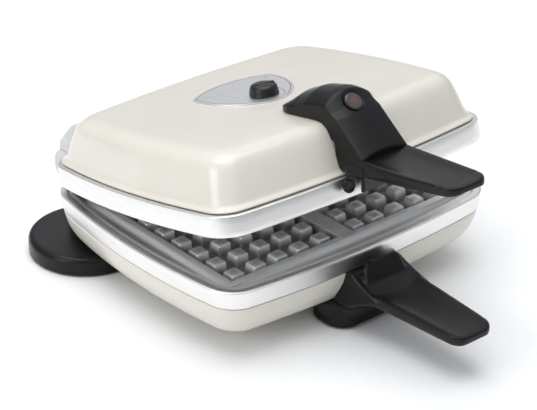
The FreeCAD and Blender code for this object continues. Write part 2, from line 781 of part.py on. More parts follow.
def dial_plate():
    corner, side, low, bottom = (36.8, 36.0), (32.5, 5.0), (15.5, -16.6), (0.0, -22.4)
    back = (0.0, 48.0)
    ring = [(-corner[0], corner[1]), back, corner, side, low, bottom, (-low[0], low[1]), (-side[0], side[1])]
    points = [Vec(x, y, 0) for x, y in ring]
    edges = [Part.Arc(points[i], points[i + 1], points[(i + 2) % 8]).toShape() for i in range(0, 8, 2)]
    plate = Part.Face(Part.Wire(edges)).extrude(Vec(0, 0, dial_thick))
    plate.rotate(Vec(0, 0, 0), X, -math.degrees(math.atan(lid_tilt)))
    plate.translate(Vec(0, 0, lid_top(0)))
    return plate.cut(rod(neck_radius + fit_gap, Vec(0, dial_y, lid_height - 5), Vec(0, dial_y, lid_height + 5)))


def thermostat_low():
    return lid_top(dial_y) - sheet - thermostat_gap - thermostat_tall


def thermostat_body():
    low = thermostat_low()
    top = low + thermostat_tall
    case = box(-thermostat_half, thermostat_half, dial_y - thermostat_depth, dial_y + thermostat_depth, low, top)
    neck = rod(neck_radius, Vec(0, dial_y, top), Vec(0, dial_y, lid_top(dial_y) + dial_thick))
    bore = rod(shaft_radius + fit_gap, Vec(0, dial_y, low + 1.5), Vec(0, dial_y, lid_height + 5))
    return case.fuse(neck).cut(bore)


def thermostat_sensor():
    low = plate_depth + close_gap + fit_gap
    return rod(sensor_radius, Vec(0, dial_y, low), Vec(0, dial_y, thermostat_low()))


def knob_base():
    return lid_top(dial_y - knob_radius) + dial_thick + run_gap


def thermostat_shaft():
    low = thermostat_low() + 1.5 + seat_gap
    return rod(shaft_radius, Vec(0, dial_y, low), Vec(0, dial_y, knob_base() + knob_height - knob_cap))


def thermostat_knob():
    base = knob_base()
    cone = Part.makeCone(knob_radius, knob_top_radius, knob_height, Vec(0, dial_y, base))
    rim = [edge for edge in cone.Edges if abs(edge.CenterOfMass.z - base - knob_height) < 0.01]
    cone = cone.makeFillet(knob_round, rim)
    mark = box(-knob_mark_width / 2, knob_mark_width / 2, dial_y, dial_y + knob_radius + 1,
               base + knob_height - knob_mark_depth, base + knob_height + 1)
    bore = rod(shaft_radius + fit_gap / 2, Vec(0, dial_y, base - 1),
               Vec(0, dial_y, base + knob_height - knob_cap))
    return cone.cut([mark, bore])


def button_face():
    """Front face of the upper band beside the button."""
    return front_line(button_x, button_z, 0).y


def release_button():
    face = button_face()
    cap = rod(button_radius, Vec(button_x, face - button_out, button_z),
              Vec(button_x, face - button_stroke - run_gap, button_z))
    rim = [edge for edge in cap.Edges if edge.CenterOfMass.y < face - button_out + 0.01]
    cap = cap.makeFillet(1.4, rim)
    stem = rod(button_stem, Vec(button_x, face - button_stroke - 1, button_z),
               Vec(button_x, face + band_wall + button_reach, button_z))
    return cap.fuse(stem)


def button_way(radius, reach):
    face = button_face()
    return rod(radius, Vec(button_x, face - 5, button_z), Vec(button_x, face + reach, button_z))


reflector_piece = reflector()
element_piece = heating_element()
plate_piece = waffle_plate()
clips = element_clips()
block_piece = terminal_block()
lower_block = hinge_block_lower()
upper_block = hinge_block_upper()

lower_band = band(band_height).cut(ways(hinge_screw_lines, fit_gap))
upper_band = flipped(band(upper_band_height)).cut(button_way(button_stem + fit_gap, 6))
upper_plate = flipped(plate_piece).cut(button_way(button_stem + 0.6, 11.5))
sensor_way = rod(sensor_radius + run_gap, Vec(0, dial_y, reflector_bend), Vec(0, dial_y, reflector_depth + 5))

spacers = []
upper_spacers = []
for sx in (-spacer_x, spacer_x):
    for sy in (-spacer_y, spacer_y):
        spacers.append(rod(spacer_radius, Vec(sx, sy, bowl_bottom + sheet), Vec(sx, sy, -reflector_depth)))
        upper_spacers.append(rod(spacer_radius, Vec(sx, sy, reflector_depth + close_gap),
                                 Vec(sx, sy, lid_top(sy + spacer_radius) - sheet)))

# base
save("base_bowl", [base_bowl()])
save("lower_band", [lower_band])
save("lower_waffle_plate", [plate_piece])
save("lower_heating_element", [element_piece])
save("lower_reflector", [reflector_piece])
save("lower_element_clips", clips)
save("lower_reflector_spacers", spacers)
save("lower_terminal_block", [block_piece])
save("cord_gland", [cord_gland()])
save("lower_handle", [lower_handle()])
save("lower_handle_screws", [screw(head, tip) for head, tip in handle_screw_lines])
save("front_foot", [front_foot()])
save("rear_foot", [rear_foot()])
save("foot_screws", [screw(head, tip) for head, tip in foot_screw_lines])
save("foot_pads", foot_pads())
save("hinge_block_lower_right", [lower_block])
save("hinge_block_lower_left", [mirrored(lower_block)])
save("hinge_pins", hinge_pins())
save("lower_hinge_screws", [screw(head, tip) for head, tip in hinge_screw_lines])

# lid
save("lid_shell", [lid_shell()], lid=True)
save("upper_band", [upper_band], lid=True)
save("upper_waffle_plate", [upper_plate], lid=True)
save("upper_heating_element", [flipped(element_piece)], lid=True)
save("upper_reflector", [flipped(reflector_piece).cut(sensor_way)], lid=True)
save("upper_element_clips", [flipped(clip) for clip in clips], lid=True)
save("upper_reflector_spacers", upper_spacers, lid=True)
save("upper_terminal_block", [flipped(block_piece)], lid=True)
save("hinge_block_upper_right", [upper_block], lid=True)
save("hinge_block_upper_left", [mirrored(upper_block)], lid=True)
save("upper_hinge_screws", [screw(head, tip) for head, tip in upper_hinge_screw_lines], lid=True)
save("upper_handle", [upper_handle()], lid=True)
save("upper_handle_screws", [screw(head, tip) for head, tip in upper_handle_screw_lines], lid=True)
save("pilot_lens", [pilot_lens()], lid=True)
save("pilot_lamp", [pilot_lamp()], lid=True)
save("dial_plate", [dial_plate()], lid=True)
save("thermostat_body", [thermostat_body()], lid=True)
save("thermostat_sensor", [thermostat_sensor()], lid=True)

# knob and button
save("thermostat_knob", [thermostat_knob()], lid=True)
save("thermostat_shaft", [thermostat_shaft()], lid=True)
save("plate_release_button", [release_button()], lid=True)
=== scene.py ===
import json
import math

import bmesh
import bpy
from mathutils import Matrix, Vector


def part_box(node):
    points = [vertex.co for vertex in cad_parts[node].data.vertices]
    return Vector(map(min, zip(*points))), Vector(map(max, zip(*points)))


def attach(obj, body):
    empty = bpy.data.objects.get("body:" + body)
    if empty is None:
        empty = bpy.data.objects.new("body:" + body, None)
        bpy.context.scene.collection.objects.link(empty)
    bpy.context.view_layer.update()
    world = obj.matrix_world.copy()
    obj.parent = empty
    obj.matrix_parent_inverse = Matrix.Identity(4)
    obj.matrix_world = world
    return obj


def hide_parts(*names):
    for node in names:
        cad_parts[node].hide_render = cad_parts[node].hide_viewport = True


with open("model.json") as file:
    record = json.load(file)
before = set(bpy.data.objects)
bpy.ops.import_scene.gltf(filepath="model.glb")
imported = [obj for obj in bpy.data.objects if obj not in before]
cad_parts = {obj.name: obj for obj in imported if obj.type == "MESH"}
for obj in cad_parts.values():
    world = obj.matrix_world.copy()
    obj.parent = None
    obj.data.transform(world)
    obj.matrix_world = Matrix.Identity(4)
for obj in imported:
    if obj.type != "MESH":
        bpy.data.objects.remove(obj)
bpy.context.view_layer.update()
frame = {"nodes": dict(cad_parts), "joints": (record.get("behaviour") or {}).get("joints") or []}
scene = bpy.context.scene
scene.view_settings.view_transform = "Standard"
print("frame loaded,", len(frame["nodes"]), "CAD pieces")

# camera: above the front left corner, with a long lens
view = {"eye": (-0.9064, -1.0474, 0.8046), "back": (-0.5642, -0.6765, 0.4733), "lens": 143.0}

cameraData = bpy.data.cameras.new("studioCamera")
cameraData.lens = view["lens"]
cameraData.sensor_width = 36.0
cameraData.clip_end = 50.0
camera = bpy.data.objects.new("studioCamera", cameraData)
scene.collection.objects.link(camera)
camera.location = view["eye"]
camera.rotation_euler = Vector(view["back"]).to_track_quat("Z", "Y").to_euler()
scene.camera = camera

# shapes are drawn in millimetres about the middle of the lower steel band, with height 0 at its
# upper edge and the lid shut, and are then moved to where the CAD model has them
lidJoint = next(joint for joint in frame["joints"] if joint["name"] == "lid_hinge")
bandLow, bandHigh = (Vector(corner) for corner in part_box("lower_band"))
bodyPlace = Vector(((bandLow.x + bandHigh.x) / 2, (bandLow.y + bandHigh.y) / 2, bandHigh.z))
standing = Matrix.Translation(bodyPlace) @ Matrix.Diagonal((0.001, 0.001, 0.001, 1))
hinge = Vector(lidJoint["pos_m"])
openedBy = math.radians(-lidJoint["range_deg"][0])
opening = (Matrix.Translation(hinge) @ Matrix.Rotation(openedBy, 4, Vector(lidJoint["axis"]))
           @ Matrix.Translation(-hinge))
places = {"base": standing, "lid": opening @ standing, "knob": opening @ standing,
          "release_button": opening @ standing}


def toLinear(hexColour):
    channels = [int(hexColour[i:i + 2], 16) / 255 for i in (1, 3, 5)]
    return [c / 12.92 if c <= 0.04045 else ((c + 0.055) / 1.055) ** 2.4 for c in channels] + [1.0]


def addNode(tree, kind, settings=None, links=None):
    node = tree.nodes.new(kind)
    for key, value in (settings or {}).items():
        if isinstance(key, int) or key in node.inputs:
            node.inputs[key].default_value = value
        else:
            setattr(node, key, value)
    for key, source in (links or {}).items():
        tree.links.new(source, node.inputs[key])
    return node


# A pattern's size is the width of one blotch in millimetres, and stretch divides it along x, y and z.
# Colour, roughness and bump each follow one pattern, and a bump's depth is in millimetres.
# A roughness stays between two fifteenths, such as 4/15 and 5/15: Cycles leaves dark specks where one
# that varies crosses such a step.
looks = {
    # stove-enamelled pressed steel: a warm off-white gloss with a faint orange peel
    "creamEnamel": {
        "shader": {"Roughness": 0.3, "IOR": 1.5, "Coat Weight": 0.5, "Coat Roughness": 0.08,
                   "Coat IOR": 1.5},
        "patterns": {"clouds": {"size": 55, "detail": 2}, "peel": {"size": 1.6, "detail": 1},
                     "dust": {"size": 6, "detail": 4}},
        "colour": {"from": "clouds", "shades": ["#dfdad0", "#e2ded3"]},
        "roughness": {"from": "dust", "low": 0.275, "high": 0.325},
        "bump": {"from": "peel", "depth": 0.012, "strength": 0.3}},
    # brushed 18/10 stainless strip: fine lines along the band, about twice as coarse as the real belt
    # grit so that they show, which stretch each reflection upwards
    "brushedStainless": {
        "shader": {"Metallic": 1.0, "Roughness": 0.33},
        "patterns": {"lines": {"size": 14, "stretch": (1, 1, 55), "detail": 2},
                     "fine": {"size": 5, "stretch": (1, 1, 40), "detail": 3},
                     "smear": {"size": 30, "detail": 3}},
        "colour": {"from": "lines", "shades": ["#e9e8e6", "#f6f5f3"]},
        "bump": {"from": "fine", "depth": 0.012, "strength": 0.3}},
    # die-cast aluminium, tumbled bright: grey with a soft shine on every facet, a painted highlight along
    # its edges and painted shade in the corners between the posts; the casting skin is part oxide, so it is
    # not fully metallic, and its grain is drawn coarser than real so that it shows
    "castAluminium": {
        "shader": {"Metallic": 0.6, "Roughness": 0.3},
        "patterns": {"grain": {"size": 0.9, "detail": 2}, "blotches": {"size": 16, "detail": 4}},
        "colour": {"from": "blotches", "shades": ["#aaa9a7", "#bbbab8"]},
        "roughness": {"from": "blotches", "low": 0.275, "high": 0.325},
        "bump": {"from": "grain", "depth": 0.03, "strength": 0.3}},
    # compression-moulded phenolic: near black with a satin gloss, and a matt grain that is drawn
    # coarser than real so that it shows
    "mouldedPhenolic": {
        "shader": {"Roughness": 0.3, "IOR": 1.52, "Specular IOR Level": 0.27},
        "patterns": {"grain": {"size": 0.8, "detail": 2},
                     "flow": {"size": 18, "stretch": (1, 0.5, 1), "detail": 4}},
        "colour": {"from": "flow", "shades": ["#0a0a0b", "#101011"]},
        "roughness": {"from": "flow", "low": 0.275, "high": 0.328},
        "bump": {"from": "grain", "depth": 0.03, "strength": 0.3}},
    # glass-filled nylon from a spark-eroded tool: light grey, matt, faintly mottled; grain coarser
    # than real so that it shows
    "greyNylon": {
        "shader": {"Roughness": 0.5, "IOR": 1.53},
        "patterns": {"grain": {"size": 0.7, "detail": 2}, "mottle": {"size": 9, "detail": 4}},
        "colour": {"from": "mottle", "shades": ["#cfcfce", "#d9d9d8"]},
        "roughness": {"from": "mottle", "low": 0.475, "high": 0.528},
        "bump": {"from": "grain", "depth": 0.03, "strength": 0.4}},
    # anodised aluminium sheet, brushed front to back: pale, even, with soft straight lines
    "satinAnodised": {
        "shader": {"Metallic": 1.0, "Roughness": 0.4},
        "patterns": {"lines": {"size": 9, "stretch": (20, 1, 1), "detail": 3}},
        "colour": {"from": "lines", "shades": ["#e2e2e3", "#ececed"]},
        "roughness": {"from": "lines", "low": 0.405, "high": 0.46},
        "bump": {"from": "lines", "depth": 0.01, "strength": 0.3}},
    # matt dark printing ink on the badge, slightly uneven in cover
    "screenInk": {
        "shader": {"Roughness": 0.6},
        "patterns": {"cover": {"size": 0.8, "detail": 3}},
        "colour": {"from": "cover", "shades": ["#4b4b4d", "#626265"]}},
    # injection-moulded ABS: near black with a satin spark-eroded grain, coarser than real
    "mouldedKnob": {
        "shader": {"Roughness": 0.4, "IOR": 1.53},
        "patterns": {"grain": {"size": 0.5, "detail": 2}},
        "colour": {"from": "grain", "shades": ["#0b0b0c", "#111112"]},
        "roughness": {"from": "grain", "low": 0.34, "high": 0.395},
        "bump": {"from": "grain", "depth": 0.025, "strength": 0.4}},
    # moulded smoked acrylic over a neon lamp: dark and glossy, with a painted red glow of the lamp in its
    # middle
    "smokedAcrylic": {
        "shader": {"Roughness": 0.12, "IOR": 1.49, "Coat Weight": 0.6, "Coat Roughness": 0.04},
        "patterns": {"ripples": {"size": 2.2, "detail": 2}},
        "colour": {"from": "ripples", "shades": ["#7a3b33", "#4c3c3a", "#39383a"],
                   "stops": (0.0, 0.45, 1.0)},
        "bump": {"from": "ripples", "depth": 0.04, "strength": 0.3}},
    # moulded silicone rubber: dark, matt, a little dusty
    "siliconeRubber": {
        "shader": {"Roughness": 0.75, "IOR": 1.42},
        "patterns": {"dust": {"size": 4, "detail": 5}},
        "colour": {"from": "dust", "shades": ["#1d1d1e", "#2b2b2b"]},
        "roughness": {"from": "dust", "low": 0.74, "high": 0.795},
        "bump": {"from": "dust", "depth": 0.04, "strength": 0.4}},
    # bright zinc plate: cool silver with a faint crystalline spangle, coarser than real
    "zincPlatedSteel": {
        "shader": {"Metallic": 1.0, "Roughness": 0.32},
        "patterns": {"spangle": {"kind": "ShaderNodeTexVoronoi", "size": 10 / 7, "detail": 0}},
        "colour": {"from": "spangle", "shades": ["#b9bcc0", "#cdd0d3"]},
        "roughness": {"from": "spangle", "low": 0.275, "high": 0.328, "over": (0.0, 1.0)},
        "bump": {"from": "spangle", "depth": 0.01, "strength": 0.3}},
    # drawn nickel-alloy tube that has been hot: dark grey, straw and blue in patches
    "heatedIncoloy": {
        "shader": {"Metallic": 1.0, "Roughness": 0.45},
        "patterns": {"patches": {"size": 20, "detail": 4}, "scale": {"size": 0.6, "detail": 3}},
        "colour": {"from": "patches", "shades": ["#565a63", "#6e665a", "#7d7a76"],
                   "stops": (0.35, 0.5, 0.7)},
        "roughness": {"from": "patches", "low": 0.475, "high": 0.528},
        "bump": {"from": "scale", "depth": 0.02, "strength": 0.4}},
    # mill-finish aluminium sheet: bright with soft rolling lines
    "millAluminium": {
        "shader": {"Metallic": 1.0, "Roughness": 0.3},
        "patterns": {"lines": {"size": 20, "stretch": (1, 12, 12), "detail": 3}},
        "colour": {"from": "lines", "shades": ["#c3c4c6", "#d3d4d5"]},
        "roughness": {"from": "lines", "low": 0.275, "high": 0.328},
        "bump": {"from": "lines", "depth": 0.015, "strength": 0.3}},
    # glazed steatite ceramic: warm white with tiny specks
    "steatite": {
        "shader": {"Roughness": 0.25, "IOR": 1.6},
        "patterns": {"specks": {"size": 1.2, "detail": 4}},
        "colour": {"from": "specks", "shades": ["#d5cfc2", "#e6e1d6"]},
        "roughness": {"from": "specks", "low": 0.205, "high": 0.26},
        "bump": {"from": "specks", "depth": 0.03, "strength": 0.3}},
    # turned and ground steel: fine rings across the rod
    "turnedSteel": {
        "shader": {"Metallic": 1.0, "Roughness": 0.28},
        "patterns": {"rings": {"size": 6, "stretch": (30, 1, 1), "detail": 2}},
        "colour": {"from": "rings", "shades": ["#a9abae", "#bcbec0"]},
        "roughness": {"from": "rings", "low": 0.275, "high": 0.328},
        "bump": {"from": "rings", "depth": 0.01, "strength": 0.4}},
    # small neon lamp: thin glass with an orange-red haze
    "neonGlass": {
        "shader": {"Roughness": 0.08, "IOR": 1.5, "Transmission Weight": 0.5},
        "patterns": {"haze": {"size": 3, "detail": 3}},
        "colour": {"from": "haze", "shades": ["#c24a33", "#e0765a"]}},
    # matt studio paper: almost white, with a very faint tooth, drawn coarser than real so that it shows
    "paperSweep": {
        "shader": {"Roughness": 0.85, "Specular IOR Level": 0.1},
        "patterns": {"tooth": {"size": 3, "detail": 4}},
        "colour": {"from": "tooth", "shades": ["#fbfbfc", "#fefefe"]},
        "bump": {"from": "tooth", "depth": 0.05, "strength": 0.2}},
}
usualStops = (0.35, 0.65)  # where most of a noise pattern lies
usualSpan = (0.3, 0.7)


def makeMaterial(name, look):
    # gives the material and the nodes that a finish may be built on further
    material = bpy.data.materials.new(name)
    material.use_nodes = True
    tree = material.node_tree
    tree.nodes.clear()
    shader = addNode(tree, "ShaderNodeBsdfPrincipled", look["shader"])
    addNode(tree, "ShaderNodeOutputMaterial", links={"Surface": shader.outputs[0]})
    place = addNode(tree, "ShaderNodeTexCoord").outputs["Object"]
    patterns = {}
    for pattern, shape in look["patterns"].items():
        perMetre = 1000 / shape["size"]
        scaled = addNode(tree, "ShaderNodeMapping", {
            "Scale": [perMetre * share for share in shape.get("stretch", (1, 1, 1))]}, {"Vector": place})
        texture = addNode(tree, shape.get("kind", "ShaderNodeTexNoise"), {
            "Scale": 1.0, "Detail": shape["detail"], "Roughness": 0.5}, {"Vector": scaled.outputs[0]})
        patterns[pattern] = texture.outputs[0]

    colour = look["colour"]
    stops = colour.get("stops", usualStops)
    ramp = addNode(tree, "ShaderNodeValToRGB", links={0: patterns[colour["from"]]})
    shades = ramp.color_ramp.elements
    shades[0].position, shades[1].position = stops[0], stops[-1]
    for stop in stops[1:-1]:
        shades.new(stop)
    for shade, hexColour in zip(shades, colour["shades"]):
        shade.color = toLinear(hexColour)
    tree.links.new(ramp.outputs[0], shader.inputs["Base Color"])

    if "roughness" in look:
        rough = look["roughness"]
        span = rough.get("over", usualSpan)
        ranged = addNode(tree, "ShaderNodeMapRange", {
            1: span[0], 2: span[1], 3: rough["low"], 4: rough["high"]}, {0: patterns[rough["from"]]})
        tree.links.new(ranged.outputs[0], shader.inputs["Roughness"])
    if "bump" in look:
        bump = addNode(tree, "ShaderNodeBump", {
            "Distance": look["bump"]["depth"] / 1000, "Strength": look["bump"]["strength"]},
            {"Height": patterns[look["bump"]["from"]]})
        tree.links.new(bump.outputs[0], shader.inputs["Normal"])
    return material, {"shader": shader, "place": place, "ramp": ramp, **patterns}


finishes = {}
parts = {}
for name, look in looks.items():
    finishes[name], parts[name] = makeMaterial(name, look)

# the steel's roughness is its fine lines and, on top, a faint smear from wiping
tree, nodes = finishes["brushedStainless"].node_tree, parts["brushedStainless"]
grooves = addNode(tree, "ShaderNodeMapRange", {1: usualSpan[0], 2: usualSpan[1], 3: 0.34, 4: 0.375},
                  {0: nodes["fine"]})
wiped = addNode(tree, "ShaderNodeMapRange", {1: usualSpan[0], 2: usualSpan[1], 3: 0.0, 4: 0.02},
                {0: nodes["smear"]})
rough = addNode(tree, "ShaderNodeMath", {"operation": "ADD"}, {0: wiped.outputs[0], 1: grooves.outputs[0]})
tree.links.new(rough.outputs[0], nodes["shader"].inputs["Roughness"])

# a painted highlight on the casting's edges and painted shade in its corners, both following the mesh's
# pointiness
paintedEdgeLight = {"bright": "#fafafa", "highlightSpan": (0.503, 0.54), "paintedShade": "#5c5b59", "shadeSpan": (0.43, 0.497),
        "shadeMost": 0.8}
tree, nodes = finishes["castAluminium"].node_tree, parts["castAluminium"]
edges = addNode(tree, "ShaderNodeNewGeometry").outputs["Pointiness"]
highlightShare = addNode(tree, "ShaderNodeMapRange", {
    1: paintedEdgeLight["highlightSpan"][0], 2: paintedEdgeLight["highlightSpan"][1], 3: 0.0, 4: 1.0}, {0: edges})
bright = addNode(tree, "ShaderNodeMix", {"data_type": "RGBA", 7: toLinear(paintedEdgeLight["bright"])},
                 {0: highlightShare.outputs[0], 6: nodes["ramp"].outputs[0]})
shadeShare = addNode(tree, "ShaderNodeMapRange", {
    1: paintedEdgeLight["shadeSpan"][0], 2: paintedEdgeLight["shadeSpan"][1], 3: paintedEdgeLight["shadeMost"], 4: 0.0}, {0: edges})
shadedColour = addNode(tree, "ShaderNodeMix", {"data_type": "RGBA", 7: toLinear(paintedEdgeLight["paintedShade"])},
                 {0: shadeShare.outputs[0], 6: bright.outputs[2]})
tree.links.new(shadedColour.outputs[2], nodes["shader"].inputs["Base Color"])

# a painted red glow round the lens's middle, metres away from it giving the ramp, with a wandering edge
paintedGlow = {"middle": 0.0012, "rim": 0.0075, "wander": 0.0016}
tree, nodes = finishes["smokedAcrylic"].node_tree, parts["smokedAcrylic"]
lensLow, lensHigh = (Vector(corner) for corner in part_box("pilot_lens"))
away = addNode(tree, "ShaderNodeVectorMath", {"operation": "DISTANCE", 1: tuple((lensLow + lensHigh) / 2)},
               {0: nodes["place"]})
wandering = addNode(tree, "ShaderNodeMath", {"operation": "MULTIPLY_ADD", 1: paintedGlow["wander"]},
                    {0: nodes["ripples"], 2: away.outputs["Value"]})
reach = addNode(tree, "ShaderNodeMapRange", {1: paintedGlow["middle"], 2: paintedGlow["rim"], 3: 0.0, 4: 1.0},
                {0: wandering.outputs[0]})
tree.links.new(reach.outputs[0], nodes["ramp"].inputs[0])
print("materials made:", len(finishes))

# CAD pieces that keep their own shape
keptNodes = {
    "zincPlatedSteel": ["lower_element_clips", "upper_element_clips", "lower_reflector_spacers",
                        "upper_reflector_spacers", "lower_handle_screws", "upper_handle_screws",
                        "foot_screws", "lower_hinge_screws", "upper_hinge_screws",
                        "thermostat_sensor"],
    "heatedIncoloy": ["lower_heating_element", "upper_heating_element"],
    "millAluminium": ["lower_reflector", "upper_reflector"],
    "steatite": ["lower_terminal_block", "upper_terminal_block", "thermostat_body"],
    "siliconeRubber": ["foot_pads", "cord_gland"],
    "turnedSteel": ["hinge_pins", "thermostat_shaft"],
    "neonGlass": ["pilot_lamp"],
}
for finish, nodeNames in keptNodes.items():
    for nodeName in nodeNames:
        nodeMaterials = frame["nodes"][nodeName].data.materials
        for index in range(max(1, len(nodeMaterials))):
            if index < len(nodeMaterials):
                nodeMaterials[index] = finishes[finish]
            else:
                nodeMaterials.append(finishes[finish])


def addPiece(name, bm, body, nodes, finishNames, sharp=32):
    bmesh.ops.remove_doubles(bm, verts=bm.verts, dist=0.0004)
    bmesh.ops.recalc_face_normals(bm, faces=bm.faces)
    for edge in bm.edges:
        edge.smooth = len(edge.link_faces) == 2 and edge.calc_face_angle() < math.radians(sharp)
    for face in bm.faces:
        face.smooth = True
    mesh = bpy.data.meshes.new(name)
    bm.to_mesh(mesh)
    bm.free()
    mesh.transform(places[body])
    for finishName in finishNames:
        mesh.materials.append(finishes[finishName])
    piece = bpy.data.objects.new(name, mesh)
    scene.collection.objects.link(piece)
    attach(piece, body)
    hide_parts(*nodes)


def addLoops(bm, loops, closed=False, capFirst=False, capLast=False, finish=0):
    rows = [[bm.verts.new(point) for point in loop] for loop in loops]
    count = len(rows[0])
    pairs = list(zip(rows, rows[1:]))
    if closed:
        pairs.append((rows[-1], rows[0]))
    for lower, upper in pairs:
        for i in range(count):
            corners = (lower[i], lower[(i + 1) % count], upper[(i + 1) % count], upper[i])
            bm.faces.new(corners).material_index = finish
    for wanted, row in ((capFirst, rows[0]), (capLast, rows[-1])):
        if wanted:
            middle = bm.verts.new(sum((v.co for v in row), Vector()) / count)
            for i in range(count):
                bm.faces.new((row[i], row[(i + 1) % count], middle)).material_index = finish
    return rows


def smoothLine(points, steps=4):
    # passes through every point, so a few measured places give a flowing section
    line = []
    for i in range(len(points) - 1):
        p = [Vector(points[max(0, min(len(points) - 1, i + k))]) for k in (-1, 0, 1, 2)]
        for step in range(steps):
            t = step / steps
            squared = (2 * p[0] - 5 * p[1] + 4 * p[2] - p[3]) * t ** 2
            cubed = (3 * p[1] - p[0] - 3 * p[2] + p[3]) * t ** 3
            line.append(0.5 * (2 * p[1] + (p[2] - p[0]) * t + squared + cubed))
    line.append(Vector(points[-1]))
    return line


def softened(bm, body, name, nodes, finishName, voxel, passes, shape=None, joined=None):
    # one skin over the rough solids, rounded like a moulding; sizes in millimetres
    rough = bpy.data.meshes.new(name + "Rough")
    bm.to_mesh(rough)
    bm.free()
    holder = bpy.data.objects.new(name + "Rough", rough)
    scene.collection.objects.link(holder)
    remesh = holder.modifiers.new("skin", "REMESH")
    remesh.mode = "VOXEL"
    remesh.voxel_size = voxel
    relax = holder.modifiers.new("relax", "SMOOTH")
    relax.factor = 0.5
    relax.iterations = passes
    ready = holder.evaluated_get(bpy.context.evaluated_depsgraph_get())
    mesh = bpy.data.meshes.new_from_object(ready)
    bpy.data.objects.remove(holder)
    skin = bmesh.new()
    skin.from_mesh(mesh)
    if shape:
        for vertex in skin.verts:
            vertex.co = shape(vertex.co)
    if joined:
        extra = bpy.data.meshes.new(name + "Joined")
        joined.to_mesh(extra)
        joined.free()
        skin.from_mesh(extra)
    addPiece(name, skin, body, nodes, [finishName], sharp=70)


def fromNode(nodeName, body):
    # the CAD solid, back in drawing millimetres
    bm = bmesh.new()
    bm.from_mesh(frame["nodes"][nodeName].data)
    bmesh.ops.transform(bm, matrix=places[body].inverted(), verts=bm.verts)
    bmesh.ops.remove_doubles(bm, verts=bm.verts, dist=0.001)
    return bm


# the outline that the steel bands, shells and plates share: a rectangle with bowed sides
outline = {"halfWidth": 124.7, "halfDepth": 105.7, "frontBow": 9.0, "sideBow": 10.5, "corner": 25.4,
           "leastCorner": 3.0, "frontSteps": 12, "cornerSteps": 10, "sideSteps": 10}
frontRadius = (outline["halfWidth"] ** 2 + outline["frontBow"] ** 2) / (2 * outline["frontBow"])
sideRadius = (outline["halfDepth"] ** 2 + outline["sideBow"] ** 2) / (2 * outline["sideBow"])
frontCentre = frontRadius - outline["halfDepth"] - outline["frontBow"]
sideCentre = sideRadius - outline["halfWidth"] - outline["sideBow"]


def arcPoints(centre, radius, start, end, steps):
    return [(centre[0] + radius * math.cos(start + (end - start) * i / steps),
             centre[1] + radius * math.sin(start + (end - start) * i / steps)) for i in range(steps)]


def bodyOutline(inset, corner=None):
    # the front left quarter: half the bowed front, the corner, half the bowed side
    corner = max(outline["corner"] - inset, outline["leastCorner"]) if corner is None else corner
    first = frontRadius - inset - corner
    second = sideRadius - inset - corner
    span = math.hypot(sideCentre, frontCentre)
    along = (first ** 2 - second ** 2 + span ** 2) / (2 * span)
    aside = math.sqrt(first ** 2 - along ** 2)
    ux, uy = sideCentre / span, -frontCentre / span
    cornerX, cornerY = min((along * ux + s * aside * uy, frontCentre + along * uy - s * aside * ux)
                           for s in (1, -1))
    frontAngle = math.atan2(cornerY - frontCentre, cornerX)
    sideAngle = math.atan2(cornerY, cornerX - sideCentre)
    half = math.pi / 2
    if frontAngle > 0:
        frontAngle -= 2 * math.pi
    if sideAngle > 0:
        sideAngle -= 2 * math.pi
    quarter = arcPoints((0, frontCentre), frontRadius - inset, -half, frontAngle, outline["frontSteps"])
    quarter += arcPoints((cornerX, cornerY), corner, frontAngle, sideAngle, outline["cornerSteps"])
    quarter += arcPoints((sideCentre, 0), sideRadius - inset, sideAngle, -math.pi, outline["sideSteps"])
    sideMiddle = (sideCentre - sideRadius + inset, 0.0)
    leftHalf = quarter + [sideMiddle] + [(x, -y) for x, y in reversed(quarter)]
    return leftHalf + [(-x, y) for x, y in reversed(leftHalf[1:-1])]


def bodyLoop(inset, height, corner=None, tilt=0.0):
    return [(x, y, height - tilt * y) for x, y in bodyOutline(inset, corner)]


def shrunk(loop, share, tilt=0.0):
    return [(x * share, y * share, z + tilt * y * (1 - share)) for x, y, z in loop]


# steel bands: a strip rolled in at the cooking edge, with a ledge for the cast plate
bands = {"lower": {"height": 14.7, "tuck": 1.9, "flip": 1, "rise": 0.0, "body": "base"},
         "upper": {"height": 15.6, "tuck": 1.0, "flip": -1, "rise": 0.8, "body": "lid"}}
bandEdge = [(0.15, -1.3), (0.3, -0.75), (0.62, -0.32), (1.05, -0.08), (1.6, 0.0), (5.2, 0.0), (5.9, -0.12),
            (6.35, -0.5), (6.5, -1.1), (5.9, -1.1), (1.9, -1.3)]
for which, band in bands.items():
    low, tuck = -band["height"], band["tuck"]
    profile = [(tuck + 1.3, low), (tuck + 0.6, low + 0.1), (tuck + 0.15, low + 0.5), (tuck, low + 1.1)]
    profile += [(tuck * 0.6, low * 0.6), (tuck * 0.25, low * 0.25)] + bandEdge
    profile += [(tuck + 1.1, low + 2.0), (tuck + 1.6, low + 1.1), (13.0, low + 1.1), (13.0, low)]
    bm = bmesh.new()
    addLoops(bm, [bodyLoop(inset, band["rise"] + band["flip"] * z) for inset, z in profile], closed=True)
    addPiece(which + "SteelBand", bm, band["body"], [which + "_band"], ["brushedStainless"])

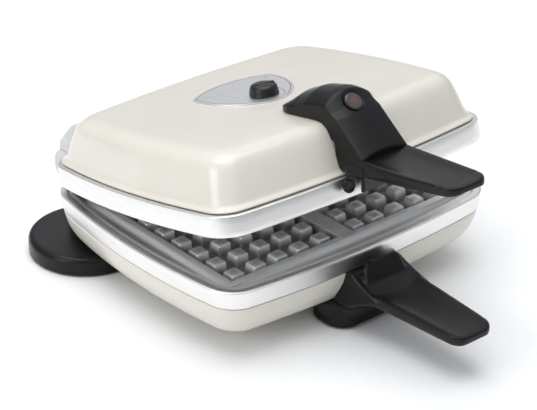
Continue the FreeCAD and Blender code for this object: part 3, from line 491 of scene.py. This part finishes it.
# painted shells: inset from the outline, height, corner radius, share of the tilt
lidShell = {"outer": [(5.6, 17.1, 21.0, 0), (4.75, 17.15, 21.0, 0), (4.4, 17.6, 21.0, 0),
                      (4.45, 18.3, 21.0, 0), (5.1, 18.85, 21.0, 0), (6.4, 19.5, 21.0, 0),
                      (7.7, 20.7, 21.0, 0), (8.5, 22.6, 21.0, 0), (9.6, 26.0, 21.0, 0.1),
                      (10.9, 30.4, 21.0, 0.25), (12.8, 36.2, 20.8, 0.6), (14.8, 41.6, 20.5, 0.8),
                      (16.3, 44.6, 20.2, 0.9), (18.0, 46.9, 20.0, 1.0), (20.4, 49.0, 19.4, 1.0),
                      (23.6, 50.5, 18.4, 1.0), (27.5, 51.15, 17.4, 1.0), (33.0, 51.3, 16.0, 1.0)],
            "wall": 1.2, "tilt": 0.02, "flat": 0.96, "lean": 1.2}
baseBowl = {"outer": [(2.9, -15.2, 23.0, 0), (2.5, -15.6, 23.0, 0), (2.7, -18.0, 23.0, 0),
                      (4.2, -24.0, 22.5, 0), (6.0, -29.0, 22.0, 0), (8.2, -33.2, 21.5, 0),
                      (10.6, -37.0, 21.0, 0), (13.2, -39.8, 20.5, 0), (16.0, -41.9, 20.2, 0),
                      (19.4, -43.4, 20.0, 0), (23.0, -44.2, 19.5, 0), (27.5, -44.5, 19.0, 0)],
            "wall": 1.2, "tilt": 0.0, "flat": 0.96, "leanFrom": 6, "leanOver": 12}


def shellLoops(points, tilt):
    return [bodyLoop(inset, z, corner, tilt * share) for inset, z, corner, share in smoothLine(points, 3)]


def pressedShell(name, body, node, shell, innerPoints):
    # two skins joined along the rim, each with a flat middle that is one face
    bm = bmesh.new()
    skins = []
    for points in (shell["outer"], innerPoints):
        loops = shellLoops(points, shell["tilt"])
        loops.append(shrunk(loops[-1], shell["flat"], shell["tilt"]))
        skins.append(addLoops(bm, loops))
    for rows in skins:
        bm.faces.new(rows[-1])
    outerRim, innerRim = skins[0][0], skins[1][0]
    for i in range(len(outerRim)):
        j = (i + 1) % len(outerRim)
        bm.faces.new((outerRim[i], innerRim[i], innerRim[j], outerRim[j]))
    addPiece(name, bm, body, [node], ["creamEnamel"], sharp=50)


# inside the lid the sheet is measured downwards once the wall has leaned over, inside the bowl upwards
wall = lidShell["wall"]
pressedShell("lidShell", "lid", "lid_shell", lidShell, [
    (i + wall, z - wall * min(1.0, s * lidShell["lean"]), c - wall, s) for i, z, c, s in lidShell["outer"]])
wall = baseBowl["wall"]
pressedShell("baseBowl", "base", "base_bowl", baseBowl, [
    (i + wall, z + wall * min(1.0, max(0.0, (i - baseBowl["leanFrom"]) / baseBowl["leanOver"])),
     c - wall, s) for i, z, c, s in baseBowl["outer"]])
print("bands and shells made")

# cast waffle plates
plate = {"pitch": 20.0, "columns": 5, "rows": 8, "dividerHalf": 6.5, "firstRow": -74.8, "squareness": 16,
         "border": -3.0, "landHalf": 111.9, "landFront": -90.2, "landBack": 80.6, "bottom": -15.4,
         "gutterInset": 12.0, "gutterUnderLand": 0.6, "gutterLow": -15.0, "gutterFloor": -6.0,
         "under": (14.4, -17.0), "underShare": 0.6}
# side of a post: distance from its middle, height
postSide = [(0.0, -3.5), (4.4, -3.5), (4.8, -3.62), (5.3, -4.3), (6.4, -12.4), (6.65, -13.0),
            (7.05, -13.38), (7.5, -13.5)]
# side of a field: distance in from its edge, height
fieldSide = [(0.0, -3.0), (0.25, -3.25), (0.5, -4.0), (1.5, -12.4), (2.0, -13.2), (2.7, -13.5)]
landSide = [(0.0, -7.0), (0.0, -4.2), (0.3, -3.4), (1.1, -3.0)]
# gutter and rim: inset from the outline, height
plateRim = [(12.6, -6.0), (11.7, -5.7), (11.2, -5.0), (10.9, -2.0), (10.5, -1.25), (9.8, -1.0), (7.7, -1.0),
            (7.1, -1.15), (6.85, -1.6), (6.85, -13.3), (13.9, -13.4), (14.1, -16.8)]


def heightAlong(side, distance):
    for (d0, h0), (d1, h1) in zip(side, side[1:]):
        if distance <= d1:
            return h0 + (h1 - h0) * max(0.0, distance - d0) / max(d1 - d0, 1e-6)
    return side[-1][1]


def gridLines(centres, edges, landEnds):
    lines = set()
    for centre in centres:
        for distance, height in postSide[1:]:
            lines.update((round(centre - distance, 3), round(centre + distance, 3)))
        lines.add(centre)
    for low, high in edges:
        for distance, height in fieldSide:
            lines.update((round(low + distance, 3), round(high - distance, 3)))
    for distance, height in landSide[1:]:
        lines.update((landEnds[0] + distance, landEnds[1] - distance))
    return sorted(lines)


def castPlate(name, flip, rise, body, node):
    half = plate["pitch"] / 2
    columns = [side * (plate["dividerHalf"] + plate["pitch"] * (k + 0.5))
               for side in (-1, 1) for k in range(plate["columns"])]
    rows = [plate["firstRow"] + plate["pitch"] * k for k in range(plate["rows"])]
    far = plate["dividerHalf"] + plate["pitch"] * plate["columns"]
    fieldsX = [(-far, -plate["dividerHalf"]), (plate["dividerHalf"], far)]
    fieldY = (rows[0] - half, rows[-1] + half)
    xs = gridLines(columns, fieldsX, (-plate["landHalf"], plate["landHalf"]))
    ys = gridLines(rows, [fieldY], (plate["landFront"], plate["landBack"]))

    def surface(x, y):
        inX = max(min(x - low, high - x) for low, high in fieldsX)
        into = min(inX, y - fieldY[0], fieldY[1] - y)
        fromLand = min(plate["landHalf"] - abs(x), y - plate["landFront"], plate["landBack"] - y)
        if into < 0:
            return heightAlong(landSide, fromLand) if fromLand < landSide[-1][0] else plate["border"]
        dx = min(abs(x - c) for c in columns)
        dy = min(abs(y - r) for r in rows)
        power = plate["squareness"]  # makes each post a square with tight round corners
        distance = (dx ** power + dy ** power) ** (1 / power)
        return max(heightAlong(fieldSide, into), heightAlong(postSide, distance))

    bm = bmesh.new()
    grid = [[bm.verts.new((x, y, rise + flip * surface(x, y))) for x in xs] for y in ys]
    for a, b in zip(grid, grid[1:]):
        for i in range(len(xs) - 1):
            bm.faces.new((a[i], a[i + 1], b[i + 1], b[i]))
    edge = grid[0] + [row[-1] for row in grid[1:]] + grid[-1][-2::-1]
    edge += [row[0] for row in grid[-2:0:-1]]
    skirt = [bm.verts.new((v.co.x, v.co.y, rise + flip * plate["bottom"])) for v in edge]
    for i in range(len(edge)):
        j = (i + 1) % len(edge)
        bm.faces.new((edge[i], edge[j], skirt[j], skirt[i]))
    bm.faces.new(skirt)
    # gutter, rim and underside, from the land out to the band and back under the plate
    middleY = (plate["landFront"] + plate["landBack"]) / 2
    reachX = plate["landHalf"] - plate["gutterUnderLand"]
    reachY = (plate["landBack"] - plate["landFront"]) / 2 - plate["gutterUnderLand"]

    def landLoop(height):
        loop = []
        for x, y in bodyOutline(plate["gutterInset"]):
            share = min(reachX / max(abs(x), 1e-6), reachY / max(abs(y - middleY), 1e-6))
            loop.append((x * share, middleY + (y - middleY) * share, height))
        return loop

    loops = [landLoop(plate["gutterLow"]), landLoop(plate["gutterFloor"])]
    loops += [bodyLoop(inset, z) for inset, z in plateRim]
    loops += [shrunk(bodyLoop(*plate["under"]), share) for share in (1.0, plate["underShare"])]
    loops = [[(x, y, rise + flip * z) for x, y, z in loop] for loop in loops]
    addLoops(bm, loops, capFirst=True, capLast=True)
    addPiece(name, bm, body, [node], ["castAluminium"], sharp=28)


castPlate("lowerWafflePlate", 1, 0.0, "base", "lower_waffle_plate")
castPlate("upperWafflePlate", -1, 0.8, "lid", "upper_waffle_plate")
print("waffle plates made")

# mouldings: CAD piece, body, slot, finish, voxel size, smoothing passes
mouldings = {
    "rearFoot": ("rear_foot", "base", "black_plastic", "mouldedPhenolic", 1.2, 4),
    "hingeBlockLowerRight": ("hinge_block_lower_right", "base", "grey_plastic", "greyNylon", 0.7, 4),
    "hingeBlockLowerLeft": ("hinge_block_lower_left", "base", "grey_plastic", "greyNylon", 0.7, 4),
    "hingeBlockUpperRight": ("hinge_block_upper_right", "lid", "grey_plastic", "greyNylon", 0.7, 4),
    "hingeBlockUpperLeft": ("hinge_block_upper_left", "lid", "grey_plastic", "greyNylon", 0.7, 4),
}
for name, (node, owner, slot, finish, voxel, passes) in mouldings.items():
    softened(fromNode(node, owner), owner, name, [node], finish, voxel, passes)

# blades of the two handles: y, half width, upper edge, underside, depth of the dish
blades = {
    "lower": {"tip": -220.0, "corner": 12.0, "rim": 3.6, "rows": [
        (-116.0, 25.0, -22.0, -30.0, 0.1), (-128.0, 24.2, -22.0, -31.0, 0.2),
        (-140.0, 23.3, -22.0, -31.2, 1.2), (-160.0, 21.8, -22.0, -31.2, 2.6),
        (-185.0, 19.9, -22.1, -31.1, 2.4), (-205.0, 18.5, -22.3, -30.9, 1.8),
        (-220.0, 17.5, -22.8, -30.4, 0.8)]},
    "upper": {"tip": -217.0, "corner": 12.5, "rim": 3.4, "rows": [
        (-118.0, 21.5, 33.0, 19.6, 0.0), (-128.0, 21.8, 32.2, 19.2, 0.6), (-140.0, 21.9, 31.0, 19.4, 1.8),
        (-156.0, 21.6, 29.9, 19.7, 2.4), (-176.0, 20.6, 28.9, 19.9, 2.4), (-200.0, 19.0, 28.0, 20.1, 1.8),
        (-217.0, 18.0, 27.2, 20.6, 0.8)]}}
bladeShape = {"lowEdge": 3.4, "lowEdgeShare": 0.42, "lowEdgeReach": 0.9, "topEdge": 1.5, "edgeSteps": 4,
              "dishSteps": 12, "dishFlat": 2.6, "dishSides": 0.8, "tipSteps": 12, "tipNarrow": 0.75,
              "tipRound": 2.4, "tipRoundPower": 1.5, "tipDish": 0.9}


def bladeSection(y, half, top, low, dish, rim):
    # from the left underside round the left edge, across the dished top, and down the right edge
    side = []
    edge = min((top - low) * bladeShape["lowEdgeShare"], bladeShape["lowEdge"])
    reach = edge * bladeShape["lowEdgeReach"]
    topEdge = bladeShape["topEdge"]
    steps = bladeShape["edgeSteps"]
    for k in range(steps + 1):
        angle = math.radians(-90 - 90 * k / steps)
        side.append((-half + reach + reach * math.cos(angle), low + edge + edge * math.sin(angle)))
    for k in range(steps + 1):
        angle = math.radians(180 - 90 * k / steps)
        side.append((-half + topEdge + topEdge * math.cos(angle),
                     top - topEdge + topEdge * math.sin(angle)))
    over = []
    for k in range(bladeShape["dishSteps"] + 1):
        share = -1 + 2 * k / bladeShape["dishSteps"]
        depth = dish * (1 - abs(share) ** bladeShape["dishFlat"]) ** bladeShape["dishSides"]
        over.append(((half - rim) * share, top - depth))
    ring = side + over + [(-x, z) for x, z in reversed(side)]
    return [(x, y, z) for x, z in ring]


def addBlade(bm, blade):
    line = smoothLine(blade["rows"], 5)
    tip, corner = blade["tip"], blade["corner"]
    loops = [bladeSection(*row, blade["rim"]) for row in line if row[0] > tip + corner]
    y, fullHalf, top, low, dish = [row for row in line if row[0] <= tip + corner][0]
    for k in range(bladeShape["tipSteps"] + 1):
        angle = math.radians(90 * k / bladeShape["tipSteps"])
        gone = 1 - math.cos(angle)
        half = fullHalf - corner * bladeShape["tipNarrow"] * gone
        rounding = bladeShape["tipRound"] * gone ** bladeShape["tipRoundPower"]
        loops.append(bladeSection(tip + corner - corner * math.sin(angle), half, top - rounding,
                                  low + rounding, dish * math.cos(angle) * bladeShape["tipDish"],
                                  blade["rim"]))
    addLoops(bm, loops, capFirst=True, capLast=True)


def roundedLoop(half, front, back, corner, z, steps=7):
    ring = []
    centres = ((half - corner, front + corner, -90), (half - corner, back - corner, 0),
               (-half + corner, back - corner, 90), (-half + corner, front + corner, 180))
    for x, y, first in centres:
        for k in range(steps + 1):
            angle = math.radians(first + 90 * k / steps)
            ring.append((x + corner * math.cos(angle), y + corner * math.sin(angle), z))
    return ring


# lower bracket and front foot are one flowing shape, split where the two mouldings meet:
# height, half width, front, back, corner
standSplit = -40.0
stand = [(-59.2, 31.5, -116.6, -79.0, 15.0), (-58.6, 33.2, -118.3, -77.6, 17.0),
         (-57.0, 34.0, -119.0, -77.0, 17.5), (-52.5, 33.4, -118.7, -77.5, 17.0),
         (-47.5, 31.6, -119.4, -79.0, 14.0), (standSplit, 29.2, -123.6, -98.0, 9.0),
         (-35.5, 28.2, -128.6, -100.0, 7.5), (-31.5, 27.3, -136.0, -102.0, 6.0),
         (-28.5, 26.6, -143.5, -103.0, 5.0), (-26.2, 26.2, -148.0, -104.0, 4.5),
         (-24.4, 25.6, -147.5, -105.0, 4.5), (-22.6, 25.2, -141.0, -106.0, 4.5),
         (-19.5, 25.0, -130.5, -107.0, 4.5), (-16.6, 24.8, -122.5, -108.5, 4.0),
         (-14.6, 24.4, -118.6, -110.0, 3.5), (-13.9, 23.4, -117.4, -111.0, 3.0)]
standLine = smoothLine(stand, 4)
footLoops = [row for row in standLine if row[0] <= standSplit + 1e-6]
bracketLoops = [row for row in standLine if row[0] >= standSplit - 1e-6]
arch = {"rise": 3.5, "half": 22.0, "floor": -59.2, "fade": 6.0}


def footArch(point):
    # the underside is hollowed in the middle, so that the foot stands on its two ends
    x, y, z = point
    lift = arch["rise"] * max(0.0, 1 - (x / arch["half"]) ** 2)
    return (x, y, z + lift * max(0.0, 1 - (z - arch["floor"]) / arch["fade"]))


bm = bmesh.new()
addLoops(bm, [[footArch(p) for p in roundedLoop(half, front, back, corner, z, 9)]
              for z, half, front, back, corner in footLoops], capFirst=True, capLast=True)
addPiece("frontFoot", bm, "base", ["front_foot"], ["mouldedPhenolic"], sharp=55)

# finger guard: height, half width, front, back, corner
guardRows = [(-23.6, 23.4, -137.5, -118.0, 3.0), (-22.6, 22.6, -135.0, -118.0, 2.8),
             (-21.8, 21.4, -133.0, -118.0, 2.6), (-20.2, 20.1, -131.0, -118.5, 2.4),
             (-17.5, 19.0, -129.2, -119.5, 2.2), (-14.0, 18.0, -127.6, -120.5, 2.0),
             (-10.5, 16.9, -126.0, -120.6, 1.9), (-7.6, 15.4, -124.7, -120.2, 1.8),
             (-6.2, 13.9, -124.0, -120.3, 1.5), (-5.5, 12.0, -123.3, -121.0, 1.0)]
bm = bmesh.new()
addLoops(bm, [roundedLoop(half, front, back, corner, z, 5)
              for z, half, front, back, corner in bracketLoops], capFirst=True, capLast=True)
addBlade(bm, blades["lower"])
addLoops(bm, [roundedLoop(half, front, back, corner, z, 4)
              for z, half, front, back, corner in smoothLine(guardRows, 3)], capFirst=True, capLast=True)
softened(bm, "base", "lowerHandle", ["lower_handle"], "mouldedPhenolic", 0.8, 6)

# upper handle: the hood's tail runs out thin on the lid, and its back is crowned
hood = {"half": 21.0, "lidTop": 51.3, "tilt": 0.02, "tailEnd": -38.0, "tailFull": -62.0, "tailShare": 0.42,
        "crown": 2.6, "crownFrom": 4, "crownOver": 6, "crownFade": 14, "bladeCut": -133.5}


def hoodShape(point):
    x, y, z = point
    above = z - (hood["lidTop"] - hood["tilt"] * y)
    if above > 0 and y > hood["tailFull"]:
        back = min(1.0, (y - hood["tailFull"]) / (hood["tailEnd"] - hood["tailFull"]))
        z -= above * (1 - hood["tailShare"]) * back ** 2
    if above > hood["crownFrom"]:
        high = min(1.0, (above - hood["crownFrom"]) / hood["crownOver"])
        forward = min(1.0, max(0.0, (hood["tailFull"] + hood["crownFade"] - y) / hood["crownFade"]))
        z -= hood["crown"] * high * forward * (x / hood["half"]) ** 2
    return Vector((x, y, z))


rough = fromNode("upper_handle", "lid")
cut = bmesh.ops.bisect_plane(rough, geom=rough.verts[:] + rough.edges[:] + rough.faces[:],
                             plane_co=(0, hood["bladeCut"], 0), plane_no=(0, -1, 0), clear_outer=True)
bmesh.ops.holes_fill(rough, edges=[e for e in cut["geom_cut"] if isinstance(e, bmesh.types.BMEdge)])
bladeMesh = bmesh.new()
addBlade(bladeMesh, blades["upper"])
softened(rough, "lid", "upperHandle", ["upper_handle"], "mouldedPhenolic", 0.8, 6,
         hoodShape, bladeMesh)
print("mouldings made")

# badge: three points of each arc of its outline, and a printed line near its edge
badge = {"corner": (36.8, 36.0), "side": (32.5, 5.0), "low": (15.5, -16.6), "bottom": (0.0, -22.4),
         "back": (0.0, 48.0), "top": 51.3, "tilt": 0.02, "face": 1.0, "inkFrom": 1.7, "inkTo": 2.3,
         "flatFrom": 6.0, "steps": 16}


def arcThrough(start, through, end, steps):
    (ax, ay), (bx, by), (cx, cy) = start, through, end
    d = 2 * (ax * (by - cy) + bx * (cy - ay) + cx * (ay - by))
    a2, b2, c2 = ax * ax + ay * ay, bx * bx + by * by, cx * cx + cy * cy
    mx = (a2 * (by - cy) + b2 * (cy - ay) + c2 * (ay - by)) / d
    my = (a2 * (cx - bx) + b2 * (ax - cx) + c2 * (bx - ax)) / d
    first = math.atan2(ay - my, ax - mx)
    turnThrough = (math.atan2(by - my, bx - mx) - first) % (2 * math.pi)
    turn = (math.atan2(cy - my, cx - mx) - first) % (2 * math.pi)
    if turnThrough > turn:
        turn -= 2 * math.pi
    return arcPoints((mx, my), math.hypot(ax - mx, ay - my), first, first + turn, steps)


def drawnIn(ring, inset):
    result = []
    for i, (x, y) in enumerate(ring):
        (px, py), (nx, ny) = ring[i - 1], ring[(i + 1) % len(ring)]
        length = math.hypot(nx - px, ny - py)
        result.append((x - (ny - py) / length * inset, y + (nx - px) / length * inset))
    return result


corner, side, low = badge["corner"], badge["side"], badge["low"]
badgeRing = arcThrough(corner, badge["back"], (-corner[0], corner[1]), badge["steps"] * 2)
badgeRing += arcThrough((-corner[0], corner[1]), (-side[0], side[1]), (-low[0], low[1]), badge["steps"])
badgeRing += arcThrough((-low[0], low[1]), badge["bottom"], low, badge["steps"])
badgeRing += arcThrough(low, side, corner, badge["steps"])


def badgeLoop(inset, height):
    return [(x, y, badge["top"] + height - badge["tilt"] * y) for x, y in drawnIn(badgeRing, inset)]


bm = bmesh.new()
face = badge["face"]
badgeEdge = [(0.4, 0.03), (0.0, 0.1), (0.0, 0.7), (0.12, 0.92), (0.4, face), (badge["inkFrom"], face)]
addLoops(bm, [badgeLoop(inset, height) for inset, height in badgeEdge], capFirst=True)
addLoops(bm, [badgeLoop(badge["inkFrom"], face), badgeLoop(badge["inkTo"], face)], finish=1)
addLoops(bm, [badgeLoop(badge["inkTo"], face), badgeLoop(badge["flatFrom"], face)], capLast=True)
# plain heat marks beside the knob, each a little longer than the last
marks = {"count": 8, "from": -52.0, "step": 15.0, "inner": 14.2, "short": 1.6, "growth": 0.28,
         "width": 0.75, "sunk": 0.02, "height": 0.08, "centre": (0, -3.5, 0)}
for k in range(marks["count"]):
    angle = math.radians(marks["from"] + marks["step"] * k)
    along = Vector((math.cos(angle), math.sin(angle), 0))
    across = Vector((-along.y, along.x, 0)) * marks["width"] / 2
    start = Vector(marks["centre"]) + along * marks["inner"]
    end = start + along * (marks["short"] + marks["growth"] * k)
    corners = [start - across, end - across, end + across, start + across]
    loops = [[(c.x, c.y, badge["top"] - badge["tilt"] * c.y + height) for c in corners]
             for height in (face - marks["sunk"], face + marks["height"])]
    addLoops(bm, loops, capFirst=True, capLast=True, finish=1)
addPiece("lidBadge", bm, "lid", ["dial_plate"], ["satinAnodised", "screenInk"])


def turned(bm, profile, origin, axis, steps=64, finish=0, grip=None, capFirst=False, capLast=True):
    axis = Vector(axis).normalized()
    first = axis.orthogonal().normalized()
    second = axis.cross(first)
    loops = []
    for radius, height in profile:
        loop = []
        for i in range(steps):
            angle = 2 * math.pi * i / steps
            reach = radius - (grip(angle, height) if grip else 0)
            loop.append(Vector(origin) + axis * height + first * reach * math.cos(angle)
                        + second * reach * math.sin(angle))
        loops.append(loop)
    addLoops(bm, loops, capFirst=capFirst, capLast=capLast, finish=finish)


knob = {"at": (0.0, -3.5, 52.75), "flutes": 36, "fluteDepth": 0.14, "fluteLow": 1.9, "lowFade": 0.8,
        "fluteHigh": 6.4, "highFade": 1.2, "fluteSharp": 3}
knobSide = [(9.4, 0.0), (10.9, 0.1), (11.15, 0.5), (11.1, 1.1), (10.9, 1.6), (10.75, 3.0), (10.3, 5.4),
            (9.9, 6.4), (9.2, 7.2), (8.2, 7.75), (6.0, 8.2), (3.0, 8.4)]


def fluting(angle, height):
    # the flutes fade out towards the knob's skirt and its top
    fromLow = max(0.0, (height - knob["fluteLow"]) / knob["lowFade"])
    fromHigh = max(0.0, (knob["fluteHigh"] - height) / knob["highFade"])
    depth = knob["fluteDepth"] * min(1.0, fromLow, fromHigh)
    return depth * (0.5 + 0.5 * math.cos(knob["flutes"] * angle)) ** knob["fluteSharp"]


bm = bmesh.new()
turned(bm, knobSide, knob["at"], (0, 0, 1), 160, grip=fluting, capFirst=True)
# finger bar across the top
bar = {"half": 8.6, "width": 1.5, "top": 8.9, "foot": 7.2, "angle": -20.0, "steps": 8}
ring = []
for end in (0, 1):
    for k in range(bar["steps"] + 1):
        angle = math.radians(-90 + 180 * k / bar["steps"] + 180 * end)
        ring.append(((bar["half"] - bar["width"]) * (1 - 2 * end) + bar["width"] * math.cos(angle),
                     bar["width"] * math.sin(angle)))
turn = Matrix.Rotation(math.radians(bar["angle"]), 4, "Z")
loops = []
for inset, height in ((-0.3, bar["foot"]), (0.0, 8.3), (0.15, 8.6), (0.35, 8.8), (0.7, bar["top"])):
    loops.append([Vector(knob["at"]) + turn @ Vector((x, y, height)) for x, y in drawnIn(ring, inset)])
addLoops(bm, loops, capFirst=True, capLast=True)
addPiece("thermostatKnob", bm, "knob", ["thermostat_knob"], ["mouldedKnob"])

# the lens sits on the sloping front of the hood: y and z of the slope's ends, and the way down it
slope = {"top": (-96.5, 74.3), "low": (-133.7, 35.1), "down": 12.4}
slopeTop, slopeLow = (Vector((0, *slope[end])) for end in ("top", "low"))
slopeDown = (slopeLow - slopeTop).normalized()
slopeOut = Vector((0, slopeDown.z, -slopeDown.y))
lensPlace = slopeTop + slopeDown * slope["down"]
bezel = [(7.2, -2.0), (8.1, -1.6), (8.1, 0.15), (7.95, 0.35), (7.6, 0.42), (7.25, 0.32), (7.0, 0.05),
         (6.8, -0.25)]
window = [(6.8, -0.25), (6.6, -0.05), (6.45, 0.1), (6.0, 0.2), (4.4, 0.32), (2.2, 0.38)]
bm = bmesh.new()
turned(bm, bezel, lensPlace, slopeOut, 64, 1, capFirst=True, capLast=False)
turned(bm, window, lensPlace, slopeOut, 64, 0)
addPiece("pilotLens", bm, "lid", ["pilot_lens"], ["smokedAcrylic", "mouldedPhenolic"])

button = {"at": (-24.0, -114.37, 12.0)}
buttonSide = [(2.2, -3.0), (2.2, 3.3), (4.5, 3.4), (4.9, 3.7), (5.0, 4.2), (5.0, 5.5), (4.8, 6.1),
              (4.3, 6.5), (3.3, 6.55), (2.8, 6.2), (1.5, 6.1)]
bm = bmesh.new()
turned(bm, buttonSide, button["at"], (0, -1, 0), 48, capFirst=True)
addPiece("releaseButton", bm, "release_button", ["plate_release_button"],
         ["mouldedPhenolic"])
print("badge, knob, lens and button made")

# studio: a paper floor in a room that is darker towards the walls than overhead
studio = {"floorHalf": 6.0, "horizon": 0.22, "zenith": 0.82, "sky": (0.93, 0.96, 1.0, 1.0),
          "lampsAimAt": (0, 0, 0.08)}
bm = bmesh.new()
bmesh.ops.create_grid(bm, x_segments=24, y_segments=24, size=studio["floorHalf"])
floorMesh = bpy.data.meshes.new("studioFloor")
bm.to_mesh(floorMesh)
bm.free()
floorMesh.materials.append(finishes["paperSweep"])
floor = bpy.data.objects.new("studioFloor", floorMesh)
scene.collection.objects.link(floor)

world = bpy.data.worlds.new("studioWorld")
world.use_nodes = True
background = world.node_tree.nodes["Background"]
background.inputs[0].default_value = studio["sky"]
upwards = addNode(world.node_tree, "ShaderNodeSeparateXYZ", links={
    0: addNode(world.node_tree, "ShaderNodeTexCoord").outputs["Generated"]}).outputs[2]
strength = addNode(world.node_tree, "ShaderNodeMapRange", {
    1: 0.0, 2: 1.0, 3: studio["horizon"], 4: studio["zenith"]}, {0: upwards})
world.node_tree.links.new(strength.outputs[0], background.inputs[1])
scene.world = world

lamps = {
    "overhead": {"at": (-0.1, 0.2, 2.2), "size": 2.1, "power": 31},
    "backRight": {"at": (1.6, 1.9, 1.35), "size": 1.7, "power": 3},
    "left": {"at": (-2.1, 0.0, 0.95), "size": 1.0, "power": 11},
}
for name, lamp in lamps.items():
    lampData = bpy.data.lights.new(name, "AREA")
    lampData.shape = "SQUARE"
    lampData.size = lamp["size"]
    lampData.energy = lamp["power"]
    light = bpy.data.objects.new(name, lampData)
    scene.collection.objects.link(light)
    light.location = lamp["at"]
    aim = Vector(studio["lampsAimAt"]) - light.location
    light.rotation_euler = aim.to_track_quat("-Z", "Y").to_euler()
print("studio made")
